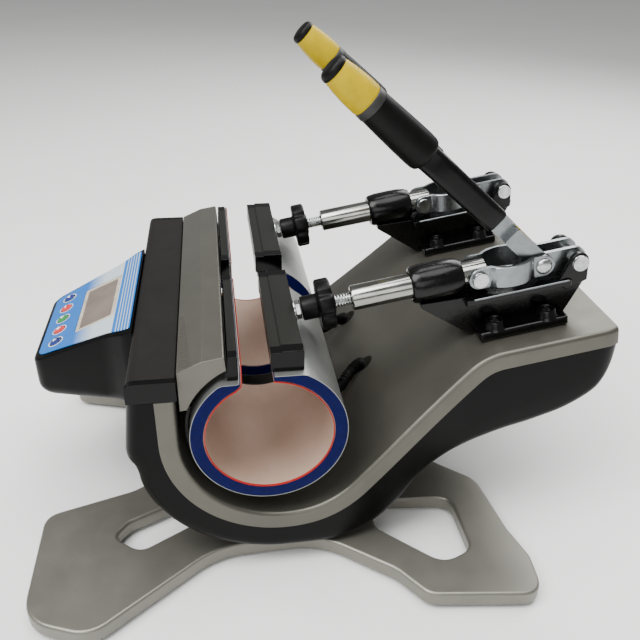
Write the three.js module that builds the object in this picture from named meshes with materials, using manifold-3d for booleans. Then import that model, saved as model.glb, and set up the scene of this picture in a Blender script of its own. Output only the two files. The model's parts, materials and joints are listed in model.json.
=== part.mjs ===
// Twin-station mug heat press. Millimetres, +Z up, ground at Z = 0.
// X runs along the mug axis, -Y is the control-panel side, +Y is the toggle-clamp side.
// Both heater stations are alike and sit at X = +STATION_X and X = -STATION_X.
import * as THREE from 'three';
import { mergeVertices } from 'three/addons/utils/BufferGeometryUtils.js';
import Module from 'manifold-3d';

const wasm = await Module();
wasm.setup();
const { Manifold, Mesh: SolidMesh } = wasm;

// ---------------------------------------------------------------- driving dimensions
const GAP = 0.3; // clearance between touching pieces
const STATION_X = 73.4; // centre of a heater station
const BAR_HALF = 59.3; // half length of a clamping bar
const BODY_HALF = 139; // half length of the body at the heaters
const TAIL_HALF = 120; // half length of the body at the clamp deck
const PLATE_TOP = 15; // top of the base plate
const PLATE_THICK = 12;
const FOOT_HEIGHT = PLATE_TOP - PLATE_THICK;

const MUG = { y: -22, z: 120 }; // axis of the heater wraps
const WRAP_INNER = 43;
const WRAP_OUTER = 53;
const WRAP_OVERHANG = 5;

const SADDLE = { y: -12, z: 120, radius: 70 }; // arc of the upper shell below the wraps
const RAMP_ANGLE = 44;
const DECK_ANGLE = 10; // the clamp deck and the clamp axis rise to the rear
const DECK_END_Y = 224;
const RIM_DEPTH = 13; // depth of the upper shell's turned-down rim
const SHELL_WALL = 3;
const SHELL_TOP = 154;

const PIVOT = { y: 200, z: 214 }; // rear pivot pin of a toggle clamp
const CRANK = 24; // rear pivot to middle pivot
const LINK = 46; // middle pivot to front pivot
const DECK_DROP = 42; // deck below the clamp axis
const FRONT_PIN = -(CRANK + LINK);
const HANDLE_ANGLE = 51.2; // closed handle above the clamp axis
const PLUNGER_R = 9;
const PLUNGER_END = -160.5;
const JAW_Y = 1; // rear face of the moving bar

// Holes in the ramp for the heater leads; both sit left of their clamp's plunger.
const CABLE = { hole: { right: 24, left: -54 }, holeY: 65, radius: 5, clearance: 1.5 };
const TAIL_FACE = 229.5; // rear face of the tail at the inlet
const INLET = { x: -52, z: 147, halfX: 14.2, halfZ: 10.2, depth: 12.5, lip: 1.2 };
const SOCKET = { halfX: 11.5, halfZ: 7.5, depth: 8.5, pinPitch: 6.5, pinHalfX: 1, pinHalfZ: 2, pinRow: 2.5 };
const SWITCH = { x: -84, z: 147, halfX: 9, halfZ: 5.6, inset: 2 };

const PANEL_ANGLE = 24; // slope of the control panel
const PANEL_LENGTH = 83;

// ---------------------------------------------------------------- colours and finishes
const FINISH = {
  silver: { color: 0x9c988c, roughness: 0.42, metalness: 0.6 },
  black: { color: 0x151513, roughness: 0.35, metalness: 0.0 },
  gloss: { color: 0x0b0b0b, roughness: 0.12, metalness: 0.0 },
  beam: { color: 0x2e2b26, roughness: 0.6, metalness: 0.1 },
  bar: { color: 0x3b3d39, roughness: 0.5, metalness: 0.7 },
  cast: { color: 0x0d0d0e, roughness: 0.3, metalness: 0.4 },
  chrome: { color: 0xb9b9b6, roughness: 0.15, metalness: 1.0 },
  zinc: { color: 0xa9adae, roughness: 0.3, metalness: 1.0 },
  foam: { color: 0x0a1a5c, roughness: 0.7, metalness: 0.0 },
  yellow: { color: 0xe5c411, roughness: 0.5, metalness: 0.0 },
  rubber: { color: 0x11110f, roughness: 0.7, metalness: 0.0 },
  label: { color: 0x2f86c8, roughness: 0.4, metalness: 0.0 },
  screen: { color: 0x6f675f, roughness: 0.15, metalness: 0.0 },
  board: { color: 0x1e5a34, roughness: 0.5, metalness: 0.0 },
  navy: { color: 0x1c2d6b, roughness: 0.4, metalness: 0.0 },
  red: { color: 0xd23238, roughness: 0.4, metalness: 0.0 },
  green: { color: 0x2d7d3f, roughness: 0.4, metalness: 0.0 },
};

// ---------------------------------------------------------------- solids
const rad = THREE.MathUtils.degToRad;
const Y_AND_Z = new THREE.Matrix4().makeBasis(
  new THREE.Vector3(0, 1, 0), new THREE.Vector3(0, 0, 1), new THREE.Vector3(1, 0, 0));

function toSolid(geometry) {
  const bare = geometry.clone();
  bare.deleteAttribute('normal');
  bare.deleteAttribute('uv');
  const merged = mergeVertices(bare, 1e-4);
  return new Manifold(new SolidMesh({
    numProp: 3,
    vertProperties: Float32Array.from(merged.attributes.position.array),
    triVerts: Uint32Array.from(merged.index.array),
  }));
}

function toGeometry(solid) {
  const result = solid.getMesh();
  const geometry = new THREE.BufferGeometry();
  geometry.setAttribute('position', new THREE.BufferAttribute(result.vertProperties, 3));
  geometry.setIndex(new THREE.BufferAttribute(result.triVerts, 1));
  geometry.computeVertexNormals();
  return geometry;
}

// Box between two corners.
function box(low, high) {
  const size = high.map((value, i) => value - low[i]);
  const geometry = new THREE.BoxGeometry(...size);
  geometry.translate(...low.map((value, i) => value + size[i] / 2));
  return toSolid(geometry);
}

function extrude(shape, depth, segments, bevel = 0) {
  return new THREE.ExtrudeGeometry(shape, {
    depth: depth - 2 * bevel,
    curveSegments: segments,
    bevelEnabled: bevel > 0,
    bevelThickness: bevel,
    bevelSize: bevel,
    bevelOffset: -bevel,
    bevelSegments: 1,
  }).translate(0, 0, bevel);
}

// A shape drawn in (Y, Z), extruded along X from x0 to x1.
function alongX(shape, x0, x1, segments = 10, bevel = 0) {
  const geometry = extrude(shape, x1 - x0, segments, bevel);
  geometry.translate(0, 0, x0);
  return toSolid(geometry.applyMatrix4(Y_AND_Z));
}

// A shape drawn in (X, Y), extruded along Z from z0 to z1.
function alongZ(shape, z0, z1, segments = 6, bevel = 0) {
  const geometry = extrude(shape, z1 - z0, segments, bevel);
  return toSolid(geometry.translate(0, 0, z0));
}

function polygon(points) {
  return new THREE.Shape(points.map(([a, b]) => new THREE.Vector2(a, b)));
}

// Polygon whose corners are rounded: each point is [a, b, radius].
function rounded(points, steps = 4) {
  const outline = [];
  points.forEach(([a, b, radius = 0], i) => {
    const corner = new THREE.Vector2(a, b);
    const before = new THREE.Vector2(...points.at(i - 1).slice(0, 2)).sub(corner);
    const after = new THREE.Vector2(...points[(i + 1) % points.length].slice(0, 2)).sub(corner);
    if (radius === 0) {
      outline.push(corner);
      return;
    }
    const cosine = before.dot(after) / before.length() / after.length();
    const half = Math.acos(THREE.MathUtils.clamp(cosine, -1, 1)) / 2;
    const reach = Math.min(radius / Math.tan(half), before.length() * 0.49, after.length() * 0.49);
    const start = corner.clone().add(before.setLength(reach));
    const end = corner.clone().add(after.setLength(reach));
    const curve = new THREE.QuadraticBezierCurve(start, corner, end);
    outline.push(...curve.getPoints(steps));
  });
  return new THREE.Shape(outline);
}

// Cylinder along X, Y or Z, centred on a point.
function rod(axis, radius, length, centre, sides = 20, endRadius = radius) {
  const geometry = new THREE.CylinderGeometry(endRadius, radius, length, sides);
  if (axis === 'x') geometry.rotateZ(-Math.PI / 2);
  if (axis === 'z') geometry.rotateX(Math.PI / 2);
  return toSolid(geometry.translate(...centre));
}

const pieces = new THREE.Group();

// Makes a named mesh of a solid in the given group.
function piece(name, solid, finish, group = pieces) {
  const mesh = new THREE.Mesh(toGeometry(solid), new THREE.MeshStandardMaterial(FINISH[finish]));
  mesh.name = name;
  group.add(mesh);
  return mesh;
}

// ---------------------------------------------------------------- body outlines in (Y, Z)
const rampSlope = Math.tan(rad(RAMP_ANGLE));
const deckSlope = Math.tan(rad(DECK_ANGLE));
const deckOffset = DECK_DROP / Math.cos(rad(DECK_ANGLE));
const deckZ = (y) => PIVOT.z - deckOffset + (y - PIVOT.y) * deckSlope;

// Points of the upper shell's top face, moved outward (down) by an offset, from the front
// edge, round the saddle arc, up the ramp and along the deck.
function saddleCurve(offset, endY = DECK_END_Y) {
  const radius = SADDLE.radius + offset;
  const stop = rad(270 + RAMP_ANGLE);
  const points = [[SADDLE.y - radius, SHELL_TOP]];
  const arcSteps = 22;
  for (let i = 0; i <= arcSteps; i += 1) {
    const angle = Math.PI + (stop - Math.PI) * i / arcSteps;
    points.push([SADDLE.y + radius * Math.cos(angle), SADDLE.z + radius * Math.sin(angle)]);
  }
  const [footY, footZ] = points.at(-1);
  const deckAt = deckZ(0) - offset / Math.cos(rad(DECK_ANGLE));
  const bendY = (deckAt - footZ + footY * rampSlope) / (rampSlope - deckSlope);
  points.push([bendY, deckAt + bendY * deckSlope], [endY, deckAt + endY * deckSlope]);
  return points;
}

// Points of the lower shell's underside, from the tail forward to the front wall, moved
// inward by an inset.
function bellyCurve(inset) {
  const tail = new THREE.CatmullRomCurve3([
    [232 - inset, 163], [TAIL_FACE - inset, 143], [219 - inset, 124 + inset], [199, 109 + inset],
    [174, 99 + inset], [148, 91 + inset], [112 - inset / 2, 76 + inset], [90 - inset / 2, 61 + inset],
    [76 - inset, 43 + inset], [60 - inset / 2, 28 + inset], [42, 19 + inset], [26, 15.5 + inset],
  ].map(([y, z]) => new THREE.Vector3(y, z, 0)));
  const points = tail.getPoints(26).map(({ x, y }) => [x, y]);
  const [rY, rZ, centreZ] = [100 - inset, 88.5 - inset, 104];
  const arcSteps = 14;
  for (let i = 0; i <= arcSteps; i += 1) {
    const angle = -Math.PI / 2 - (Math.PI / 2) * i / arcSteps;
    points.push([SADDLE.y + rY * Math.cos(angle), centreZ + rZ * Math.sin(angle)]);
  }
  points.push([SADDLE.y - rY, SHELL_TOP]);
  return points;
}

const TAIL_END = DECK_END_Y + 9;

// Plan view of the body, which narrows from the heaters to the clamp deck.
function bodyPlan(inset) {
  const [wide, narrow] = [BODY_HALF - inset, TAIL_HALF - inset];
  const side = [[wide, -130, 0], [wide, 20, 60], [narrow, 120, 60], [narrow, TAIL_END - inset, 18]];
  const mirrored = [...side].reverse().map(([x, y, r]) => [-x, y, r]);
  return alongZ(rounded([...side, ...mirrored], 6), 0, 260);
}

// ---------------------------------------------------------------- base plate and feet
function basePlate() {
  const side = [
    [34, -84, 30], [62, -128, 40], [82, -193, 15], [178, -192, 32], [196, -146, 26], [131, -62, 60],
    [129, 14, 60], [168, 64, 30], [193, 82, 16], [203, 162, 26], [168, 165, 18], [140, 158, 20],
    [84, 152, 24], [40, 104, 40],
  ];
  const mirrored = [...side].reverse().map(([x, y, r]) => [-x, y, r]);
  let plate = alongZ(rounded([...side, ...mirrored], 5), FOOT_HEIGHT, PLATE_TOP, 6, 1.6);
  for (const mirror of [1, -1]) {
    const slot = rounded([[60, -52, 10], [84, -44, 10], [127, -118, 12], [111, -139, 12], [97, -128, 12]]
      .map(([x, y, r]) => [mirror * x, y, r]));
    const window_ = rounded([[97, 58, 10], [126, 58, 12], [166, 100, 18], [156, 124, 14], [102, 124, 14]]
      .map(([x, y, r]) => [mirror * x, y, r]));
    plate = plate.subtract(alongZ(slot, 0, 20)).subtract(alongZ(window_, 0, 20));
  }
  return plate;
}

piece('base_plate', basePlate(), 'silver');
const FOOT_R = 11;
const FEET = {
  front_right: [160, -160], front_left: [-160, -160], rear_right: [180, 138], rear_left: [-180, 138],
};
for (const [corner, [x, y]] of Object.entries(FEET)) {
  const height = FOOT_HEIGHT - GAP;
  piece(`foot_${corner}`, rod('z', FOOT_R, height, [x, y, height / 2], 20, FOOT_R + 1), 'rubber');
}

// ---------------------------------------------------------------- body shells
const END_WALL = 4;

function upperShell() {
  const top = saddleCurve(0);
  const rim = saddleCurve(RIM_DEPTH, DECK_END_Y + 5);
  const skin = saddleCurve(SHELL_WALL, DECK_END_Y - SHELL_WALL);
  const block = alongX(polygon([...top, ...rim.reverse()]), -BODY_HALF, BODY_HALF);
  const hollow = alongX(polygon([...skin, ...saddleCurve(RIM_DEPTH + 10, DECK_END_Y - SHELL_WALL).reverse()]),
    -BODY_HALF, BODY_HALF);
  const outside = block.intersect(bodyPlan(0));
  const hollowed = outside.subtract(hollow.intersect(bodyPlan(END_WALL)));
  const cableHoles = Object.values(CABLE.hole).map(
    (x) => rod('z', CABLE.radius + CABLE.clearance, 60, [x, CABLE.holeY, 100], 14));
  return cableHoles.reduce((solid, hole) => solid.subtract(hole), hollowed);
}

piece('upper_shell', upperShell(), 'silver');

function lowerShell() {
  const underside = bellyCurve(0);
  const outer = polygon([...saddleCurve(RIM_DEPTH + GAP, DECK_END_Y + 6), ...underside]);
  const roof = saddleCurve(RIM_DEPTH - 30, DECK_END_Y + 6 - 2 * SHELL_WALL);
  const inner = polygon([...roof, ...bellyCurve(SHELL_WALL)]);
  const hollow = alongX(inner, -BODY_HALF, BODY_HALF).intersect(bodyPlan(END_WALL));
  let shell = alongX(outer, -BODY_HALF, BODY_HALF).intersect(bodyPlan(0)).subtract(hollow);
  const tailHole = ({ x, z, halfX, halfZ }, gap) => box(
    [x - halfX - gap, TAIL_FACE - 17, z - halfZ - gap], [x + halfX + gap, TAIL_FACE + 20, z + halfZ + gap]);
  return shell.subtract(tailHole(INLET, GAP)).subtract(tailHole(SWITCH, 0));
}

piece('lower_shell', lowerShell(), 'black');

function powerInlet() {
  const mouthY = TAIL_FACE - SOCKET.depth;
  const body = box([INLET.x - INLET.halfX, TAIL_FACE - INLET.depth, INLET.z - INLET.halfZ],
    [INLET.x + INLET.halfX, TAIL_FACE + INLET.lip, INLET.z + INLET.halfZ]);
  const mouth = box([INLET.x - SOCKET.halfX, mouthY, INLET.z - SOCKET.halfZ],
    [INLET.x + SOCKET.halfX, TAIL_FACE + 12, INLET.z + SOCKET.halfZ]);
  const pins = [-1, 0, 1].map((column) => {
    const x = INLET.x + column * SOCKET.pinPitch;
    const z = INLET.z + (column === 0 ? SOCKET.pinRow : -SOCKET.pinRow);
    return box([x - SOCKET.pinHalfX, mouthY - 1, z - SOCKET.pinHalfZ],
      [x + SOCKET.pinHalfX, TAIL_FACE - 1, z + SOCKET.pinHalfZ]);
  });
  return pins.reduce((solid, pin) => solid.add(pin), body.subtract(mouth));
}
piece('power_inlet', powerInlet(), 'black');

const rockerProfile = polygon([[-8, 1.6], [-6.4, 4.8], [0, 3.6], [7, 2.2], [8, -1.4], [3, -5], [-3, -5]]);
const ROCKER_HALF = 5;
const rocker = piece('power_rocker', alongZ(rockerProfile, -ROCKER_HALF, ROCKER_HALF), 'gloss');
rocker.position.set(SWITCH.x, TAIL_FACE - SWITCH.inset, SWITCH.z);

const POWER_BOARD = { low: [-60, 120, 108], high: [-10, 180, 111] };
piece('power_board', box(POWER_BOARD.low, POWER_BOARD.high), 'board');
const BUMPER = { centre: [78, 116, 74.2], height: 8, bottomR: 5, topR: 6.5 };
const bumper = rod('z', BUMPER.bottomR, BUMPER.height, BUMPER.centre, 16, BUMPER.topR);
piece('tail_bumper', bumper.subtract(lowerShellCore()), 'rubber');

// The body's underside as a solid, grown by the gap, to seat the bumper against it.
function lowerShellCore() {
  const grown = polygon([...saddleCurve(RIM_DEPTH + GAP, DECK_END_Y + 6), ...bellyCurve(-GAP)]);
  return alongX(grown, -BODY_HALF, BODY_HALF);
}

// ---------------------------------------------------------------- front beam and cover
const BEAM = { front: -112, back: -80.4, bottom: SHELL_TOP + GAP, top: 169 };
const beamProfile = () => rounded([
  [BEAM.front, BEAM.bottom, 0], [BEAM.back, BEAM.bottom, 0],
  [BEAM.back, BEAM.top, 1.5], [BEAM.front, BEAM.top, 6],
]);
const CAP_LENGTH = 5;
piece('front_beam', alongX(beamProfile(), -BODY_HALF + CAP_LENGTH, BODY_HALF - CAP_LENGTH), 'beam');
for (const [side, sign] of [['right', 1], ['left', -1]]) {
  const ends = [sign * (BODY_HALF - CAP_LENGTH + GAP), sign * BODY_HALF].sort((a, b) => a - b);
  piece(`beam_cap_${side}`, alongX(beamProfile(), ...ends), 'gloss');
}

const COVER_HALF = 133;
function coverProfile() {
  const radius = WRAP_OUTER + 4.6;
  const arc = [];
  const [from, to] = [118, 157];
  const arcSteps = 8;
  for (let i = 0; i <= arcSteps; i += 1) {
    const angle = rad(from + (to - from) * i / arcSteps);
    arc.push([MUG.y + radius * Math.cos(angle), MUG.z + radius * Math.sin(angle)]);
  }
  const fold = [[-79.8, 142], [-79.8, 171.5], [-76, 174.5], [-66, 178.6], [-49.5, 181], [-48.6, 171.2]];
  return polygon([...fold, ...arc]);
}
piece('clamp_cover', alongX(coverProfile(), -COVER_HALF, COVER_HALF), 'silver');

// ---------------------------------------------------------------- controller
// The controller's own frame: x across, y up the slope to the beam, z out of the panel.
const controller = new THREE.Group();
const PANEL_TOP = { y: BEAM.front - GAP, z: BEAM.top - 1 };
controller.position.set(0, PANEL_TOP.y, PANEL_TOP.z);
controller.rotation.x = rad(PANEL_ANGLE);
pieces.add(controller);

const [panelCos, panelSin] = [Math.cos(rad(PANEL_ANGLE)), Math.sin(rad(PANEL_ANGLE))];
const onPanel = ([y, z]) => [
  (y - PANEL_TOP.y) * panelCos + (z - PANEL_TOP.z) * panelSin,
  (z - PANEL_TOP.z) * panelCos - (y - PANEL_TOP.y) * panelSin,
];

function panelOutline(inset) {
  const side = [
    [71 - inset, 40 - inset, 0], [70 - inset, -7, 14], [61 - inset, -22, 30],
    [47 - inset, -PANEL_LENGTH + inset, 11 - inset / 2],
  ];
  return rounded([...side, ...[...side].reverse().map(([x, y, r]) => [-x, y, r])]);
}

// Side view of the case in (Y, Z): upright back, sloping panel, nearly level floor.
function caseProfile(inset) {
  const [back, front] = [PANEL_TOP.y - inset, -189 + inset];
  const corners = [
    [back, 168 - inset * 1.6], [front, 133.5 - inset * 0.7], [front, 113],
    [front + 3.5 - inset * 0.3, 105.5 + inset * 0.6],
    [front + 11 - inset * 0.6, 101 + inset], [-139, 99.5 + inset], [back, 98 + inset],
  ];
  return polygon(corners.map(onPanel));
}

const BUTTON_Y = -66;
const BUTTON_PITCH = 17.3;
const BUTTON_R = 4.6;
const PANEL_WALL = 2.5;
const DISPLAY = { y: -34, halfX: 34, halfY: 16.5 };
const BUTTONS = { down: 'navy', minus: 'red', start: 'green', plus: 'red', up: 'navy' };
const buttonPlaces = Object.entries(BUTTONS).map(([name, finish], i) => (
  { name, finish, x: (i - 2) * BUTTON_PITCH }));

const displayBox = (grow, z0, z1) => box(
  [-DISPLAY.halfX - grow, DISPLAY.y - DISPLAY.halfY - grow, z0],
  [DISPLAY.halfX + grow, DISPLAY.y + DISPLAY.halfY + grow, z1]);

function cutPanelHoles(solid) {
  const drilled = buttonPlaces.reduce(
    (rest, { x }) => rest.subtract(rod('z', BUTTON_R + GAP, 12, [x, BUTTON_Y, 0], 20)), solid);
  return drilled.subtract(displayBox(GAP, -6, 6));
}

const CASE_REACH = 90; // past every face of the case
const CASE_BOSS = { x: 48, radius: 6, length: 16 };

function controllerCase() {
  const along = (inset) => alongX(caseProfile(inset), -CASE_REACH, CASE_REACH);
  const block = along(0).intersect(alongZ(panelOutline(0), -CASE_REACH, 20));
  const cavity = along(SHELL_WALL).intersect(alongZ(panelOutline(SHELL_WALL), -CASE_REACH, -PANEL_WALL));
  const [bossY, bossZ] = onPanel([-131, 98.5]);
  const bosses = [-CASE_BOSS.x, CASE_BOSS.x].map(
    (x) => rod('z', CASE_BOSS.radius, CASE_BOSS.length, [x, bossY, bossZ], 16));
  const solid = bosses.reduce((whole, boss) => whole.add(boss), block).subtract(cavity);
  return cutPanelHoles(solid);
}
piece('controller_case', controllerCase(), 'black', controller);

const labelShape = () => {
  const side = [
    [66, -1.5, 2], [64, -8, 10], [58, -21, 30], [44, -PANEL_LENGTH + 4, 8],
  ];
  return rounded([...side, ...[...side].reverse().map(([x, y, r]) => [-x, y, r])]);
};
piece('panel_label', cutPanelHoles(alongZ(labelShape(), GAP, 1)), 'label', controller);
piece('display', displayBox(0, -4.5, 1.2), 'screen', controller);
const CIRCUIT_BOARD = { low: [-38, -72, -19.6], high: [38, -22, -18] };
piece('circuit_board', box(CIRCUIT_BOARD.low, CIRCUIT_BOARD.high), 'board', controller);
for (const { name, finish, x } of buttonPlaces) {
  piece(`button_${name}`, rod('z', BUTTON_R, 12, [x, BUTTON_Y, -3.6], 20), finish, controller);
}

// ---------------------------------------------------------------- heater stations
const STATIONS = { right: STATION_X, left: -STATION_X };

const JAW = { front: -20, step: -13, bottom: 168, stepTop: 181.2, top: 182.2 };
const FIXED_BAR = { front: -48.2, frontTop: -47.2, back: -41.4, bottom: 163.4, top: 180 };
const MUG_SLOT = [-39, -20, MUG.z]; // room for the mug's handle: Y from, Y to, Z from

// Heater wrap: an open ring whose outer end stands a little past the bars.
function wrap(outward) {
  const ring = new THREE.Shape();
  ring.absarc(MUG.y, MUG.z, WRAP_OUTER, 0, 2 * Math.PI);
  const bore = new THREE.Path();
  bore.absarc(MUG.y, MUG.z, WRAP_INNER, 0, 2 * Math.PI);
  ring.holes.push(bore);
  const ends = [-outward * BAR_HALF, outward * (BAR_HALF + WRAP_OVERHANG)];
  const [x0, x1] = ends.sort((a, b) => a - b);
  const full = alongX(ring, x0, x1, 24);
  const clear = ([yLow, yHigh, zLow]) => box([x0 - 1, yLow, zLow], [x1 + 1, yHigh, 200]);
  const slot = clear(MUG_SLOT);
  const jawRoom = clear([MUG_SLOT[0], 60, JAW.bottom - 1.5]);
  const barRoom = clear([-60, MUG_SLOT[0], FIXED_BAR.bottom - 0.4]);
  const coverRoom = alongX(coverProfile(), x0 - 1, x1 + 1);
  return full.subtract(slot).subtract(jawRoom).subtract(barRoom).subtract(coverRoom);
}

const CRADLE_HALF = 50;

// Half-round steel cradle behind and below a wrap, held by the cover.
function cradle() {
  const [inner, outer] = [WRAP_OUTER + 1, WRAP_OUTER + 3];
  const [from, to] = [rad(160), rad(290)];
  const shape = new THREE.Shape();
  shape.absarc(MUG.y, MUG.z, outer, from, to, false);
  shape.absarc(MUG.y, MUG.z, inner, to, from, true);
  return alongX(shape, -CRADLE_HALF, CRADLE_HALF, 16);
}

function movingBar() {
  return alongX(polygon([
    [JAW.front, JAW.bottom], [JAW_Y, JAW.bottom], [JAW_Y, JAW.top], [JAW.step, JAW.top],
    [JAW.step, JAW.stepTop], [JAW.front, JAW.stepTop],
  ]), -BAR_HALF, BAR_HALF);
}

function fixedBar() {
  const { front, frontTop, back, bottom, top } = FIXED_BAR;
  const section = polygon([[front, bottom], [back, bottom], [back, top], [frontTop, top]]);
  return alongX(section, -BAR_HALF, BAR_HALF);
}

const CABLE_START = 50;

// Corrugated sleeve of a heater lead, from the wrap's underside into the hole in the ramp.
function heaterLead(side) {
  const hole = CABLE.hole[side];
  const start = Math.sign(hole) * CABLE_START;
  const between = (part) => start + (hole - start) * part;
  const route = new THREE.CatmullRomCurve3([
    [start, 29, 96], [between(0.08), 36, 91], [between(0.35), 43, 89], [between(0.8), 54, 95],
    [hole, CABLE.holeY - 3, 98], [hole, CABLE.holeY, 92], [hole, CABLE.holeY, 79],
  ].map((point) => new THREE.Vector3(...point)));
  const section = new THREE.Shape();
  section.absarc(0, 0, CABLE.radius, 0, 2 * Math.PI);
  return toSolid(new THREE.ExtrudeGeometry(section, { steps: 16, curveSegments: 5, extrudePath: route }));
}

// ---------------------------------------------------------------- toggle clamp
// Clamp frame: origin on the rear pivot, -Y along the plunger towards the mug, +Z up.
const FLANGE = { back: -12, front: -77, half: 28, bottom: -DECK_DROP + GAP, top: -DECK_DROP + 7 };
const BARREL = { front: -118, back: -80, radius: 14 };
const EAR = { inner: 13.2, outer: 17.4, radius: 7 };
const PIN_R = 3.7;
const BOSS = { x: 21, bottomR: 6.2, topR: 5.2, height: 13, holeR: 3 };

function casting() {
  const flange = alongZ(rounded([
    [-FLANGE.half, FLANGE.front, 3], [FLANGE.half, FLANGE.front, 3], [FLANGE.half, FLANGE.back, 3],
    [-FLANGE.half, FLANGE.back, 3]]), FLANGE.bottom, FLANGE.top);
  const trough = alongX(polygon([
    [BARREL.front + 4, -8], [BARREL.front + 4, -13],
    [FLANGE.front - 4, FLANGE.bottom], [FLANGE.back + 1, FLANGE.bottom],
    [8, -12], [8, -11.6], [BARREL.back, -11.6]]), -15, 15);
  const earFoot = polygon([[-17, -12.6], [-8, -20], [6, -15], [EAR.radius, 0], [-EAR.radius, 0]]);
  const earSide = alongX(earFoot, -EAR.outer, EAR.outer)
    .add(rod('x', EAR.radius, 2 * EAR.outer, [0, 0, 0], 28));
  const ears = earSide.subtract(box([-EAR.inner, -30, -11.7], [EAR.inner, 30, 30]));
  const barrelMiddle = (BARREL.back + BARREL.front) / 2;
  const barrel = rod('y', BARREL.radius, BARREL.back - BARREL.front, [0, barrelMiddle, 0], 28);
  const [bossY0, bossY1] = [FLANGE.front + 13, FLANGE.back - 14];
  const bossMiddle = FLANGE.bottom + BOSS.height / 2 + 0.1;
  const bosses = [-BOSS.x, BOSS.x].flatMap((x) => [bossY0, bossY1].map(
    (y) => rod('z', BOSS.bottomR, BOSS.height, [x, y, bossMiddle], 16, BOSS.topR)));
  const whole = [trough, ears, barrel, ...bosses].reduce((solid, part) => solid.add(part), flange);
  const bore = rod('y', PLUNGER_R + GAP, 140, [0, -70, 0], 28);
  const pinHole = rod('x', PIN_R + GAP, 60, [0, 0, 0], 16);
  const screwHoles = [-BOSS.x, BOSS.x].flatMap(
    (x) => [bossY0, bossY1].map((y) => rod('z', BOSS.holeR, 40, [x, y, -36], 12)));
  return [pinHole, ...screwHoles].reduce((solid, hole) => solid.subtract(hole), whole.subtract(bore));
}

function plunger() {
  const tail = FRONT_PIN + 8;
  const body = rod('y', PLUNGER_R, tail - PLUNGER_END, [0, (tail + PLUNGER_END) / 2, 0], 24);
  const crossHole = rod('x', PIN_R + GAP, 40, [0, FRONT_PIN, 0], 16);
  const studBore = rod('y', STUD_R + GAP, 40, [0, PLUNGER_END + 19, 0], 16);
  return body.subtract(crossHole).subtract(studBore);
}

const STUD_R = 4.6;
const KNOB = {
  radius: 18.3, front: -184.6, thick: 10, hubR: 8.8, hubLength: 12, notches: 7, notchR: 5, notchOut: 4,
};
const STUD_LENGTH = 46;

function knob() {
  const disc = rod('y', KNOB.radius, KNOB.thick, [0, KNOB.front + KNOB.thick / 2, 0], 28);
  const hub = rod('y', KNOB.hubR, KNOB.hubLength, [0, KNOB.front - KNOB.hubLength / 2, 0], 24);
  const scallops = Array.from({ length: KNOB.notches }, (_, i) => {
    const angle = 2 * Math.PI * i / KNOB.notches;
    const reach = KNOB.radius + KNOB.notchOut;
    return rod('y', KNOB.notchR, 30, [reach * Math.cos(angle), KNOB.front + 4, reach * Math.sin(angle)], 12);
  });
  const stud = rod('y', STUD_R, STUD_LENGTH, [0, KNOB.front + KNOB.thick - 2.5 + STUD_LENGTH / 2, 0], 16);
  const grip = scallops.reduce((solid, cut) => solid.subtract(cut), disc);
  return grip.add(hub).add(stud);
}

// Outline with round ends around the segment from p to q.
function capsule(p, q, radius) {
  const angle = Math.atan2(q[1] - p[1], q[0] - p[0]);
  const shape = new THREE.Shape();
  shape.absarc(q[0], q[1], radius, angle - Math.PI / 2, angle + Math.PI / 2);
  shape.absarc(p[0], p[1], radius, angle + Math.PI / 2, angle + 1.5 * Math.PI);
  return shape;
}

const JAW_BOLT = { start: -200.8, radius: 4.4, headR: 6.4, head: 3 };

// Hexagon-headed bolt that ties the knob's hub to the moving bar.
function jawBolt() {
  const [y0, y1] = [JAW_BOLT.start, KNOB.front - KNOB.hubLength - GAP];
  const head = rod('y', JAW_BOLT.headR, JAW_BOLT.head, [0, y1 - JAW_BOLT.head / 2, 0], 6);
  return head.add(rod('y', JAW_BOLT.radius, y1 - y0, [0, (y0 + y1) / 2, 0], 16));
}

const PIN_HEAD_R = 5.6;
const [FRONT_HEAD, MIDDLE_HEAD, REAR_HEAD] = [2.2, 3.4, 2.4]; // lengths of the pin heads
const PLATE = { inner: 9.7, thick: 2.6, bulge: 6 };

// Bulged side plate of the link, with the head of the middle pivot pin riveted to it.
function linkPlate(side) {
  const { inner, thick, bulge } = PLATE;
  const outline = [
    [FRONT_PIN - 9, 0], [FRONT_PIN + 9, 0], [FRONT_PIN + 13, bulge], [-CRANK - 15, bulge],
    [-CRANK - 10, 0], [-CRANK + 9, 0],
  ];
  const outer = outline.map(([y, out]) => [side * (inner + thick + out), y]);
  const inside = outline.map(([y, out]) => [side * (inner + out), y]).reverse();
  const sheet = alongZ(polygon([...outer, ...inside]), -9, 9);
  const profile = alongX(capsule([FRONT_PIN, 0], [-CRANK, 0], 8), -30, 30);
  const hole = rod('x', PIN_R + GAP, 60, [0, FRONT_PIN, 0], 16);
  const head = rod('x', PIN_HEAD_R, MIDDLE_HEAD, [side * (inner + thick + 1.2), -CRANK, 0], 18);
  return sheet.intersect(profile).subtract(hole).add(head);
}

function frontPin() {
  const place = PLATE.inner + PLATE.thick + GAP + FRONT_HEAD / 2;
  const head = (side) => rod('x', PIN_HEAD_R, FRONT_HEAD, [side * place, FRONT_PIN, 0], 18);
  return rod('x', PIN_R, 26, [0, FRONT_PIN, 0], 16).add(head(1)).add(head(-1));
}

const SPACER = { radius: 5, start: 9.2 }; // sleeves between the handle's fork and the ears

function rearPin() {
  const headMiddle = EAR.outer + GAP + REAR_HEAD / 2;
  const head = (side) => rod('x', PIN_HEAD_R, REAR_HEAD, [side * headMiddle, 0, 0], 18);
  const spacer = (side) => rod('x', SPACER.radius, EAR.inner - SPACER.start - GAP,
    [side * (EAR.inner + SPACER.start - GAP) / 2, 0, 0], 18);
  return [head(1), head(-1), spacer(1), spacer(-1)]
    .reduce((solid, part) => solid.add(part), rod('x', PIN_R, 2 * EAR.outer + 3, [0, 0, 0], 16));
}

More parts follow.
